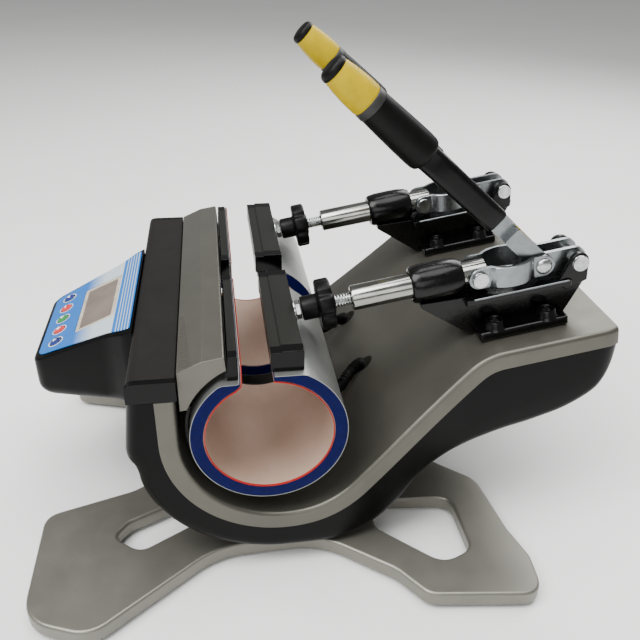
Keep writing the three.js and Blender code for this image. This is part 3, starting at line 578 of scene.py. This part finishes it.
def clamp_cover():
    """Folded cover behind the beam, with one crisp ridge along it."""
    underside = arc(MUG, WRAP_OUTER + 4.6, 118, 157, 16)
    top = [COVER_FRONT, COVER_RIDGE, (-50.2, 181), (-49.3, 180.4), (-48.6, 171.2)]
    outline = [(COVER_FRONT[0], 142), *top, *underside]
    cover = piece("cover", prism(outline, -COVER_HALF, COVER_HALF, "x"), DRAWING, "root", COVER_PAINT,
                  ["clamp_cover"], smooth=8)
    soften(cover, 0.6, 2, 5)
    slope = math.degrees(math.atan2(COVER_RIDGE[1] - COVER_FRONT[1], COVER_RIDGE[0] - COVER_FRONT[0]))
    bm = bmesh.new()
    ribs, pitch, first = 26, 2.6, 62
    for k in range(ribs):  # fine slanted ribs low on the near end of the cover
        x, reach = first + k * pitch, 4.5 + 5.5 * k / (ribs - 1)
        prism([(x, 0.9), (x + 0.7, 0.9), (x + 0.7 + reach * 0.4, reach), (x + reach * 0.4, reach)],
              -0.2, 0.12 + 0.0005 * k, "z", bm)
    place = DRAWING @ move(0, *COVER_FRONT) @ turn_x(slope)
    piece("cover_ribs", bm, place, "root", COVER_PAINT)


DISPLAY_Y, DISPLAY_X, DISPLAY_HALF_Y = -34, 34, 16.5
BUTTON_Y, BUTTON_PITCH, BUTTON_R = -66, 17.3, 4.6
BUTTONS = [("down", "navy"), ("minus", "red"), ("start", "green"), ("plus", "red"), ("up", "navy")]
KEY_X = [(i - 2) * BUTTON_PITCH for i in range(5)]
CASE_FLOOR, CASE_RISE = 98.5, 0.035  # height of the case's floor at its back, and its rise per mm forwards
LUG = (-118.5, 95.5)


def frame_outline(half_x, half_y, radius, steps=6):
    corners = [(-half_x, -half_y), (half_x, -half_y), (half_x, half_y), (-half_x, half_y)]
    return rounded([(x, y, radius) for x, y in corners], steps)


def shifted(outline, dx, dy):
    return [(x + dx, y + dy) for x, y in outline]


def framed(outer, inner, low, high):
    """Flat frame between two outlines with the same number of points."""
    rings = [[(x, y, low) for x, y in outer], [(x, y, high) for x, y in outer],
             [(x, y, high) for x, y in inner], [(x, y, low) for x, y in inner]]
    rings.append(rings[0])
    bm = loft(rings, caps=False)
    bmesh.ops.remove_doubles(bm, verts=bm.verts, dist=WELD)
    return bm


def key_cutter(x, low, radius):
    return lathe([(low, radius), (4, radius)], "z", 32, (x, BUTTON_Y, 0))


def case_outline(inset):
    """Plan outline of the controller case in drawing X and Y, drawn in by an inset."""
    back, front = PANEL_TOP[0], -188.5
    half, length = 66, 76
    side = [(71, back, 0), (70, LUG[0], 14), (61, -132, 30), (48.5, front, 11)]
    outline = rounded(mirrored(side), 12)
    return [(x * (1 - inset / half), back + (y - back) * (1 - inset / length)) for x, y in outline]


def controller_case():
    """Case under the panel: upright walls, round lower edge, nearly level floor and two lugs."""
    tilt = math.radians(PANEL_ANGLE)

    def on_panel(x, y, z):
        dy, dz = y - PANEL_TOP[0], z - PANEL_TOP[1]
        return (x, dy * math.cos(tilt) + dz * math.sin(tilt), dz * math.cos(tilt) - dy * math.sin(tilt))

    def panel_z(y, below=0.0):
        return PANEL_TOP[1] + (y - PANEL_TOP[0]) * math.tan(tilt) - below

    def floor_z(y):
        return CASE_FLOOR - CASE_RISE * (y - PANEL_TOP[0])

    rings = [[on_panel(x, y, panel_z(y)) for x, y in case_outline(1.0)],
             [on_panel(x, y, panel_z(y, 0.4)) for x, y in case_outline(0.3)],
             [on_panel(x, y, panel_z(y, 1.2)) for x, y in case_outline(0)]]
    radius = 13
    for a in range(0, 91, 10):
        inset, rise = radius * (1 - math.cos(math.radians(a))), radius * (1 - math.sin(math.radians(a)))
        rings.append([on_panel(x, y, floor_z(y) + rise) for x, y in case_outline(inset)])
    bm = loft(rings[::-1])
    case = piece("case", bm, PANEL, "root", CASE_BLACK, ["controller_case"], smooth=40)
    pockets = [key_cutter(x, -11, BUTTON_R + 0.4) for x in KEY_X]
    window = shifted(frame_outline(DISPLAY_X + 0.3, DISPLAY_HALF_Y + 0.3, 1.5), 0, DISPLAY_Y)
    cut(case, *pockets, prism(window, -6, 4, "z"))
    for s in (-1, 1):
        lug = lathe([(-7, 4.6), (-6, 5.6), (6, 5.6), (7, 4.6)], "x", 32, (s * 52, 0, 0))
        place = DRAWING @ move(0, *LUG)
        piece(f"case_lug_{ENDS[s]}", lug, place, "root", CASE_BLACK)


def controller():
    """Film, display and keys on the case's sloping face."""
    side = [(66, -1.5, 2), (64, -8, 10), (58, -21, 30), (44, -PANEL_LENGTH + 4, 8)]
    label = piece("label", prism(rounded(mirrored(side), 10), 0.3, 0.9, "z"), PANEL, "root", LABEL_BLUE,
                  ["panel_label"])
    cutters = [key_cutter(x, -3, BUTTON_R + 0.5) for x in KEY_X]
    window = shifted(frame_outline(DISPLAY_X, DISPLAY_HALF_Y, 1.5), 0, DISPLAY_Y)
    cut(label, *cutters, prism(window, -3, 4, "z"))
    soften(label, 0.2, 2)
    face = shifted(frame_outline(DISPLAY_X - 0.3, DISPLAY_HALF_Y - 0.3, 1.2), 0, DISPLAY_Y)
    hole = shifted(frame_outline(DISPLAY_X - 3.2, DISPLAY_HALF_Y - 3.0, 1.0), 0, DISPLAY_Y)
    bezel = piece("display_bezel", framed(face, hole, -4.0, 0.75), PANEL, "root", LCD_FRAME)
    soften(bezel, 0.25, 2)
    glass = piece("display_screen", prism(hole, -4.4, 0.15, "z"), PANEL, "root", LCD_GREY,
                  ["display"])
    soften(glass, 0.12, 2)
    for x, (name, colour) in zip(KEY_X, BUTTONS):
        body, slot = f"button_{name}", f"button_{colour}"
        dome = [(-9, BUTTON_R - 0.1), (1.2, BUTTON_R - 0.1), (1.9, BUTTON_R - 0.5), (2.35, BUTTON_R - 1.5),
                (2.55, BUTTON_R - 3.0), (2.6, 0.3)]
        piece(f"key_{name}", lathe(dome, "z", 40, (x, BUTTON_Y, 0)), PANEL, body, BUTTON_FINISH[colour],
              [f"button_{name}"])
        piece(f"key_{name}_symbol", symbol(name, x), PANEL, body, SYMBOL_WHITE)
        outer, inner = (arc((x, BUTTON_Y), BUTTON_R + gap, 0, 351, 39) for gap in (1.5, 0.6))
        piece(f"key_{name}_ring", framed(outer, inner, 0.9, 1.1), PANEL, "root", LABEL_PALE)


def symbol(name, x):
    """Plain sign on a key: arrow, minus, plus or start triangle."""
    low, high = 2.45, 2.8
    if name in ("down", "up"):
        s = 1 if name == "up" else -1
        shape = [(x - 1.9, BUTTON_Y - 1.1 * s), (x + 1.9, BUTTON_Y - 1.1 * s), (x, BUTTON_Y + 1.9 * s)]
        return prism(shape, low, high, "z")
    if name == "start":
        shape = [(x - 1.2, BUTTON_Y - 1.9), (x + 2.0, BUTTON_Y), (x - 1.2, BUTTON_Y + 1.9)]
        return prism(shape, low, high, "z")
    bar = [(x - 2.0, BUTTON_Y - 0.45), (x + 2.0, BUTTON_Y - 0.45), (x + 2.0, BUTTON_Y + 0.45),
           (x - 2.0, BUTTON_Y + 0.45)]
    bm = prism(bar, low, high, "z")
    if name == "plus":
        for sign in (-1, 1):
            arm = [(x - 0.45, BUTTON_Y + sign * 0.5), (x + 0.45, BUTTON_Y + sign * 0.5),
                   (x + 0.45, BUTTON_Y + sign * 2.0), (x - 0.45, BUTTON_Y + sign * 2.0)]
            prism(arm, low, high, "z", bm)
    return bm


clamp_cover()
controller_case()
controller()


# ---------------------------------------------------------------- heater wraps and leads
WRAP_REAR_SPAN, WRAP_FRONT_SPAN = 176, 150.5  # degrees of bend from the lowest line to each bar
JAW_SEAT, BAR_SEAT = 167.4, 162.8  # flat tops of the wrap, just under the moving and the fixed bar
SKIN, LINER, TRIM = 0.4, 1.2, 0.6  # foil from outside; lining and red edge from inside


def on_wrap(angle, radius):
    a = math.radians(angle)
    return Vector((MUG[0] + radius * math.cos(a), MUG[1] + radius * math.sin(a)))


def wrap_line(half):
    """Inner and outer surface points of half a wrap, from its lowest line to its free end."""
    inner, outer = [], []
    if half == "rear":
        for i in range(60):
            angle = -90 + WRAP_REAR_SPAN * i / 59
            a, b = on_wrap(angle, WRAP_INNER), on_wrap(angle, WRAP_OUTER)
            if b.x < 1.5 and b.y > 160:
                b.y = min(b.y, JAW_SEAT)
            inner.append(a)
            outer.append(b)
        return inner, outer
    for i in range(54):
        angle = -90 - WRAP_FRONT_SPAN * i / 53
        a, b = on_wrap(angle, WRAP_INNER), on_wrap(angle, WRAP_OUTER)
        if b.x > -53.5 and b.y > 160:
            b = Vector((max(b.x, -52), min(b.y, BAR_SEAT)))
        inner.append(a)
        outer.append(b)
    inner += [Vector((-41.2, 159.3)), Vector((-39.9, 160.6)), Vector((-39.2, 162.6)), Vector((-39.1, 166)),
              Vector((-39.1, 175.5)), Vector((-39.1, 177.5))]
    outer += [Vector((-47, BAR_SEAT)), Vector((-43, 162.9)), Vector((-41.3, 163.6)), Vector((-41.2, 166)),
              Vector((-41.2, 175.5)), Vector((-41.2, 177.5))]
    return inner, outer


def layer(inner, outer, depth_a, depth_b, x0, x1, bm, material):
    """Layer of a wrap between two depths below its inner surface; negative depths count from outside."""
    def at(depth):
        line = []
        for a, b in zip(inner, outer):
            thick = (b - a).length
            share = depth / thick if depth >= 0 else 1 + depth / thick
            line.append(a.lerp(b, min(max(share, 0), 1)))
        return line
    first, second = at(depth_a), at(depth_b)
    ring = [*first, *second[::-1]]
    rim = 0.35
    stations = [x0, x0 + rim, *[x0 + rim + (x1 - x0 - 2 * rim) * i / 12 for i in range(1, 12)], x1 - rim, x1]
    return loft([[(x, p.x, p.y) for p in ring] for x in stations], bm=bm, material=material)


def heater_wrap(side):
    """Padded sheet round the mug, in a front half fixed to the root and a rear half baked in place without a
    body.
    """
    out = SIDES[side]
    ends = sorted((-out * BAR_HALF, out * (BAR_HALF + WRAP_OVERHANG)))
    materials = [FOAM_NAVY, SKIN_GREY, LINER_BEIGE, TRIM_RED]
    for half in ("front", "rear"):
        inner, outer = wrap_line(half)
        bm = bmesh.new()
        layer(inner, outer, LINER, -SKIN, ends[0] + 0.1, ends[1] - 0.1, bm, 0)
        layer(inner, outer, -SKIN, -0.02, ends[0], ends[1], bm, 1)
        layer(inner, outer, 0.25, LINER, ends[0] + 0.8, ends[1] - 0.8, bm, 2)
        edge = (ends[1] - 1.0, ends[1] + 0.3) if out > 0 else (ends[0] - 0.3, ends[0] + 1.0)
        layer(inner, outer, 0.0, TRIM, *edge, bm, 3)
        if half == "front":
            layer(inner[-2:], outer[-2:], 0.0, 0.8, ends[0] + 1.1, ends[1] - 1.1, bm, 3)
        body = "root" if half == "front" else None
        wrap = piece(f"wrap_{half}_{side}", bm, station(side), body, materials,
                     [f"heater_wrap_{side}"] if half == "front" else (), smooth=40)
        if half == "rear":
            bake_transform(wrap)


def heater_lead(side):
    """Braided sleeve of a heater lead, from the wrap's underside into the hole in the ramp."""
    hole, first = LEAD_HOLE[side], SIDES[side] * 50
    radius, braid = 4.3, 0.45

    def between(part):
        return first + (hole - first) * part

    route = smooth_path([(first, 29, 96), (between(0.08), 36, 91), (between(0.35), 43, 89),
                         (between(0.8), 54, 95), (hole, LEAD_HOLE_Y - 3, 98), (hole, LEAD_HOLE_Y, 92),
                         (hole, LEAD_HOLE_Y, 79)], 22)
    radii = [radius + braid * math.sin(i * 1.9) for i in range(len(route))]
    lead = piece(f"lead_{side}", tube(route, radii, 20), DRAWING, None, LEAD_BLACK,
                 [f"heater_lead_{side}"], smooth=60)
    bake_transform(lead)


# ---------------------------------------------------------------- bars
def bars(side):
    """Gloss end caps of the two clamping bars."""
    place = station(side)
    for s in (-1, 1):
        x0, x1 = sorted((s * (BAR_HALF - 9), s * (BAR_HALF + 0.15)))
        jaw = [(-20.3, 167.7), (1.3, 167.7), (1.3, 182.5), (-13.2, 182.5), (-13.2, 181.5), (-20.3, 181.5)]
        cap = piece(f"jaw_cap_{side}_{ENDS[s]}", prism(jaw, x0, x1), place, f"jaw_{side}",
                    GLOSS_BLACK)
        soften(cap, 0.7, 3)
        fixed = [(-48.5, 163.2), (-41.2, 163.2), (-41.2, 180.3), (-47.5, 180.3)]
        cap = piece(f"bar_cap_{side}_{ENDS[s]}", prism(fixed, x0, x1), place, "root",
                    GLOSS_BLACK)
        soften(cap, 0.5, 3)


# ---------------------------------------------------------------- toggle clamps
PLUNGER_R, PLUNGER_END = 9, -160.5
STUD_R, RIVET_R = 4.6, 5.8
EYE_R = 8  # rounded ends of the link
KNOB_R, KNOB_FRONT, KNOB_THICK, HUB_R, HUB_LENGTH = 18.3, -184.6, 10.5, 8.8, 12


def plunger(side):
    """Bright round rod with a bore for the stud."""
    front, back = PLUNGER_END, FRONT_PIN + 8
    bore = STUD_R + 0.35
    profile = [(front + 33, bore), (front + 1.0, bore), (front, STUD_R + 1.2), (front, PLUNGER_R - 1.1),
               (front + 0.5, PLUNGER_R - 0.35), (front + 1.4, PLUNGER_R), (back - 1.5, PLUNGER_R),
               (back, PLUNGER_R - 1.5)]
    piece(f"rod_{side}", lathe(profile, "y", 72), clamp(side), f"plunger_{side}", CHROME_REFLECTION_STREAKS,
          [f"plunger_{side}"])


def threaded(start, end, core, crest, pitch):
    """Ridged bar whose ridges stand for a screw thread."""
    profile = [(start, core)]
    y = start + pitch / 2
    while y < end - pitch / 2:
        profile += [(y - pitch * 0.42, core), (y - pitch * 0.08, crest), (y + pitch * 0.08, crest)]
        y += pitch
    profile += [(end, core)]
    return lathe(profile, "y", 24)


def knob(side):
    """Seven-lobed pressure knob with its hub and threaded stud."""
    outline = []
    steps, notches, notch_depth = 112, 7, 1.7
    for i in range(steps):
        angle = 2 * math.pi * i / steps
        wave = max(0.0, math.cos(notches * angle)) ** 2.2
        radius = KNOB_R - notch_depth * wave
        outline.append((radius * math.cos(angle), radius * math.sin(angle)))
    rings = []
    back = KNOB_FRONT + KNOB_THICK
    edge = [(0, 0.93), (0.7, 0.98), (1.6, 1.0)]
    for along, scale in edge + [(KNOB_THICK - a, k) for a, k in reversed(edge)]:
        rings.append([(a * scale, KNOB_FRONT + along, b * scale) for a, b in outline])
    bm = loft(rings)
    y0 = KNOB_FRONT - HUB_LENGTH
    lathe([(y0, HUB_R - 1.2), (y0 + 0.5, HUB_R - 0.4), (y0 + 1.2, HUB_R - 0.1), (KNOB_FRONT - 0.9, HUB_R),
           (KNOB_FRONT + 0.4, HUB_R + 1.2)], "y", 48, bm=bm)
    lathe([(back - 0.3, 9.5), (back + 1.0, 8.6), (back + 1.4, 7.4)], "y", 48, bm=bm)
    piece(f"knob_{side}", bm, clamp(side), f"knob_{side}", KNOB_BLACK,
          [f"pressure_knob_{side}"])
    start = back + 1.2
    thread = threaded(start, start + 40, STUD_R - 0.95, STUD_R, 2.1)
    piece(f"stud_{side}", thread, clamp(side), f"knob_{side}", BOLT_ZINC, smooth=50)


def jaw_bolt(side):
    """Hexagon head and shank between the knob's hub and the moving bar."""
    end = KNOB_FRONT - HUB_LENGTH - 0.4
    hexagon = arc((0, 0), 7.0, 0, 300, 5)
    bm = bmesh.new()
    chamfers = ((0, 0.9), (0.5, 1), (3.1, 1), (3.6, 0.92))
    loft([[(a * k, end - 3.6 + y, b * k) for a, b in hexagon] for y, k in chamfers], bm=bm)
    lathe([(-200.7, 4.2), (end - 3.4, 4.2)], "y", 32, bm=bm)
    lathe([(end - 4.9, 7.2), (end - 4.7, 7.6), (end - 4.0, 7.6), (end - 3.8, 7.2)], "y", 40, bm=bm)
    piece(f"hex_bolt_{side}", bm, clamp(side), f"jaw_{side}", BOLT_ZINC, [f"jaw_bolt_{side}"])


def rivet(side, name, x, y, out, place, body, height=2.4):
    """Domed head on the end of a pin."""
    dome = ((0, 1), (0.35, 1), (0.7, 0.9), (0.95, 0.66), (1, 0.25))
    profile = [(out * height * along, RIVET_R * across) for along, across in dome]
    piece(f"{name}_{side}", lathe(profile, "x", 40, (x, y, 0)), place, body, BOLT_ZINC)


def link_plate(side, out):
    """Side plate of the link: flat at its two eyes and bowed outward between them."""
    inner, thick, bow = 9.7, 2.6, 5.9
    middle, chord = (FRONT_PIN - CRANK) / 2, 14.5
    radius = (chord ** 2 + bow ** 2) / (2 * bow)
    first, last = FRONT_PIN - EYE_R, -CRANK + EYE_R
    rings = []
    count = 72
    for i in range(count + 1):
        y = first + (last - first) * i / count
        near = min(abs(y - FRONT_PIN), abs(y + CRANK))
        beyond = y < FRONT_PIN or y > -CRANK
        half = math.sqrt(max(EYE_R ** 2 - near ** 2, 0.4)) if beyond else EYE_R
        off = (y - middle) ** 2
        swell = max(math.sqrt(max(radius ** 2 - off, 0)) - radius + bow, 0)
        outside = max(math.sqrt(max((radius + thick) ** 2 - off, 0)) - radius + bow, thick)
        a, b = out * (inner + swell), out * (inner + outside)
        m = 0.5 * out
        rings.append([(a, y, -half), (b - m, y, -half), (b, y, -half + 0.5),
                      (b, y, half - 0.5), (b - m, y, half), (a, y, half)])
    name = f"link_{ENDS[out]}_plate_{side}"
    node = f"link_{'outer' if out == SIDES[side] else 'inner'}_{side}"
    piece(name, loft(rings), clamp(side), f"link_{side}", ZINC, [node], smooth=40)
    rivet(side, f"mid_rivet_{ENDS[out]}", out * (inner + thick), -CRANK, out, clamp(side),
          f"link_{side}")
    rivet(side, f"front_rivet_{ENDS[out]}", out * (inner + thick + 0.3), FRONT_PIN, out,
          clamp(side), f"plunger_{side}", 2.0)


def casting(side):
    """Barrel, cradle, rails and rear ears of the clamp, one rough casting under black enamel."""
    place = clamp(side)
    bottom, bolt_x = -DECK_DROP + 0.3, 21
    barrel = [(-117.6, 9.6), (-117.9, 10.6), (-117.4, 12.2), (-115.5, 13.3), (-110, 14.0), (-98, 14.2),
              (-90, 14.0), (-83.5, 12.9), (-80.6, 11.6), (-80, 9.6)]
    barrel += [(-80, PLUNGER_R + 0.35), (-117.6, PLUNGER_R + 0.35)]
    bm = lathe(barrel, "y", 64, hollow=True)
    web = [(-113.5, -9.7), (-113.5, -13), (-81, bottom), (-11, bottom), (8, -13), (8, -11.6), (-80, -11.6)]
    prism(web, -13.2, 13.2, "x", bm)
    for s in (-1, 1):
        shelf = rounded([(12.8, -83, 0), (19.4, -83, 6), (19.4, -6, 2), (12.8, -6, 0)], 10)
        prism([(s * x, y) for x, y in shelf], -15.6, -11.5, "z", bm)
    body = piece(f"casting_{side}", bm, place, "root", CAST_BLACK, [f"clamp_casting_{side}"])
    soften(body, 1.3, 3)
    foot = rounded([(-28, -77, 3), (28, -77, 3), (28, -12, 3), (-28, -12, 3)])
    flange = prism(foot, bottom, -DECK_DROP + 7, "z")
    plate = piece(f"flange_{side}", flange, place, "root", CAST_BLACK)
    soften(plate, 1.6, 3)
    for s in (-1, 1):
        x0, x1 = sorted((s * 13.2, s * 17.4))
        ear = [(-16.5, -14.6), (-9, -19.8), (5.8, -15), *arc((0, 0), 7.0, -12, 166, 20)]
        end = ENDS[s]
        lug = piece(f"ear_{end}_{side}", prism(ear, x0, x1), place, "root", CAST_BLACK)
        soften(lug, 0.9, 3)
        x = s * 17.7
        rivet(side, f"rear_rivet_{end}", x, 0, s, place, "root", 2.2)
        for row, y in (("front", -64), ("rear", -26)):
            name = f"{end}_{row}_{side}"
            ring = [(bottom + 6, 0.3), (bottom + 9, 4.2), (bottom + 12.6, 4.2), (bottom + 13, 4.6),
                    (bottom + 13, 5.7), (bottom + 12.2, 6.3), (bottom + 8.2, 6.9), (bottom + 6.2, 8.2)]
            piece(f"boss_{name}", lathe(ring, "z", 36, (s * bolt_x, y, 0)), place, "root", CAST_BLACK,
                  smooth=50)
            screw = [(bottom + 8, 3.6), (bottom + 11.0, 3.6), (bottom + 11.6, 2.9)]
            piece(f"screw_{name}", lathe(screw, "z", 6, (s * bolt_x, y, 0)), place, "root", BOLT_ZINC)
        rail = [(s * 18.9, -77, -11.7), (s * 18.9, -8, -11.7)]
        line = smooth_path([rail[0], (s * 18.95, -40, -11.7), rail[1]], 6)
        piece(f"rail_{end}_{side}", tube(line, 0.75, 10), place, "root", ZINC, smooth=60)


OVAL = 0.88  # width of a grip over its height
GRIP_PARTS = [  # piece, material, slot, the node it replaces, and its profile out along the handle
    ("grip_body", GRIP_BLACK, "grip_rubber", "grip",
     [(117.5, 8.8), (117.9, 10.4), (119.2, 11.7), (121.4, 12.4), (127, 12.6), (138, 12.4), (150, 12.0),
      (160, 11.6), (166.2, 11.3)]),
    ("grip_collar", GRIP_GREY, "grip_rubber", None,
     [(166.2, 11.2), (166.5, 11.6), (167, 11.75), (171.2, 11.5), (171.7, 11.3), (172, 11.0)]),
    ("grip_yellow", GRIP_YELLOW, "yellow_grip", "grip_band",
     [(172, 11.0), (172.4, 11.3), (174, 11.5), (179, 11.5), (185, 11.2), (192, 10.5), (198.4, 9.5),
      (199.2, 9.2)]),
    ("grip_end", GRIP_BLACK, "grip_rubber", "grip_cap",
     [(199.2, 9.0), (199.6, 9.6), (200.8, 9.6), (202.6, 9.1), (203.8, 7.8), (204.4, 5.6), (204.5, 3),
      (204.5, 0.4)]),
]


def lever(side):
    """Handle sleeve and grip, from the strap to the tip."""
    place, body = handle(side), f"handle_{side}"
    sleeve = []
    for y, k in ((46, 0.94), (46.8, 1.0), (60, 1.0), (95, 1.02), (116.8, 1.05), (117.2, 1.0)):
        sleeve.append([(a * k, y, b * k) for a, b in frame_outline(5.4, 8.8, 5, 8)])
    piece(f"sleeve_{side}", loft(sleeve), place, body, VINYL,
          [f"handle_sleeve_{side}"], smooth=50)
    for name, look, slot, node, profile in GRIP_PARTS:
        piece(f"{name}_{side}", lathe(profile, "y", 64, squeeze=OVAL), place, body, look,
              [f"{node}_{side}"] if node else (), smooth=50)
    sticker = box((1.5, 20.5, -7.1), (8.6, 33.5, -6.86))
    piece(f"strap_sticker_{side}", sticker, place, body, STICKER)


for clamp_side in SIDES:
    heater_wrap(clamp_side)
    heater_lead(clamp_side)
    bars(clamp_side)
    plunger(clamp_side)
    knob(clamp_side)
    jaw_bolt(clamp_side)
    for plate_side in (-1, 1):
        link_plate(clamp_side, plate_side)
    casting(clamp_side)
    lever(clamp_side)

# ---------------------------------------------------------------- carried-over CAD pieces
CARRIED = {
    "power_inlet": (GLOSS_BLACK, 0.4), "power_rocker": (GLOSS_BLACK, 0.5), "power_board": (BOARD_GREEN, 0.2),
    "tail_bumper": (RUBBER, 0.8), "front_beam": (BEAM_BLACK, 0.8), "circuit_board": (BOARD_GREEN, 0.2),
}
PER_SIDE = {
    "foot_front": (RUBBER, 0.6), "foot_rear": (RUBBER, 0.6), "beam_cap": (GLOSS_BLACK, 0.8),
    # The cradles' black also stands in for the shade in the gap round the wraps.
    "fixed_bar": (BAR_DARK, 0.5), "moving_bar": (BAR_DARK, 0.5), "cradle": (CRADLE_BLACK_AND_SHADE, 0.3),
    "rear_pin": (BOLT_ZINC, 0.5), "front_pin": (BOLT_ZINC, 0.5), "handle_strap": (ZINC, 0.5),
}
for stem, look in PER_SIDE.items():
    for side in SIDES:
        CARRIED[f"{stem}_{side}"] = look
for node, (material, width) in CARRIED.items():
    obj = frame["nodes"][node]
    for slot in obj.material_slots:
        slot.material = material
    soften(obj, width, 2, 28)

# ---------------------------------------------------------------- camera, floor and light
FOCAL, SENSOR = 40.5, 36
CAMERA_PLACE = (515.64, -48.70, 424.67)
PITCH, YAW, ROLL = (math.radians(a) for a in (29.66, 8.825, 1.079))


def camera():
    ahead = Vector((-math.cos(YAW) * math.cos(PITCH), math.sin(YAW) * math.cos(PITCH), -math.sin(PITCH)))
    right = Vector((math.sin(YAW), math.cos(YAW), 0))
    up = right.cross(ahead)
    tilted = right * math.cos(ROLL) + up * math.sin(ROLL)
    upright = up * math.cos(ROLL) - right * math.sin(ROLL)
    data = bpy.data.cameras.new("camera")
    data.lens, data.sensor_width = FOCAL, SENSOR
    data.clip_start, data.clip_end = 0.01, 50
    obj = bpy.data.objects.new("camera", data)
    turn = Matrix((tilted, upright, -ahead)).transposed().to_4x4()
    obj.matrix_world = Matrix.Translation(Vector(CAMERA_PLACE) * MM + Vector((0, SHIFT_Y, 0))) @ turn
    bpy.context.scene.collection.objects.link(obj)
    bpy.context.scene.camera = obj


def floor():
    """Pale studio floor, which isn't part of the object."""
    material, tree, shader = node_tree("pale_floor")
    vector = coordinates(tree)
    tone = ramp(tree, noise(tree, vector, 2.0), [(0.3, (0.86, 0.86, 0.85)), (0.7, (0.9, 0.9, 0.89))])
    tree.links.new(tone, shader.inputs["Base Color"])
    shader.inputs["Roughness"].default_value = 0.8
    bm = bmesh.new()
    bmesh.ops.create_grid(bm, x_segments=4, y_segments=4, size=6)
    mesh = bpy.data.meshes.new("floor")
    bm.to_mesh(mesh)
    bm.free()
    mesh.materials.append(material)
    obj = bpy.data.objects.new("floor", mesh)
    bpy.context.scene.collection.objects.link(obj)


LIGHTS = [  # name, place, target and size in metres, and power in watts
    ("key", (0.5, -0.9, 1.5), (0, 0, 0.1), (1.0, 1.0), 34),
    ("rim", (-0.9, 0.9, 1.2), (0, 0, 0.15), (1.2, 0.8), 22),
    ("top", (0.1, 0.1, 1.8), (0, 0, 0), (1.4, 1.4), 34),
    ("near", (1.4, -0.35, 0.75), (0, 0, 0.12), (1.0, 0.7), 6),
]


def area_light(name, place, target, size, power):
    data = bpy.data.lights.new(name, "AREA")
    data.shape = "RECTANGLE"
    data.size, data.size_y = size
    data.energy = power
    obj = bpy.data.objects.new(name, data)
    obj.location = place
    obj.rotation_euler = (Vector(target) - Vector(place)).to_track_quat("-Z", "Y").to_euler()
    bpy.context.scene.collection.objects.link(obj)


def world_light():
    world = bpy.data.worlds.new("studio")
    world.use_nodes = True
    background = world.node_tree.nodes["Background"]
    background.inputs["Color"].default_value = (1, 1, 1, 1)
    background.inputs["Strength"].default_value = 0.36
    bpy.context.scene.world = world


camera()
floor()
world_light()
for light in LIGHTS:
    area_light(*light)
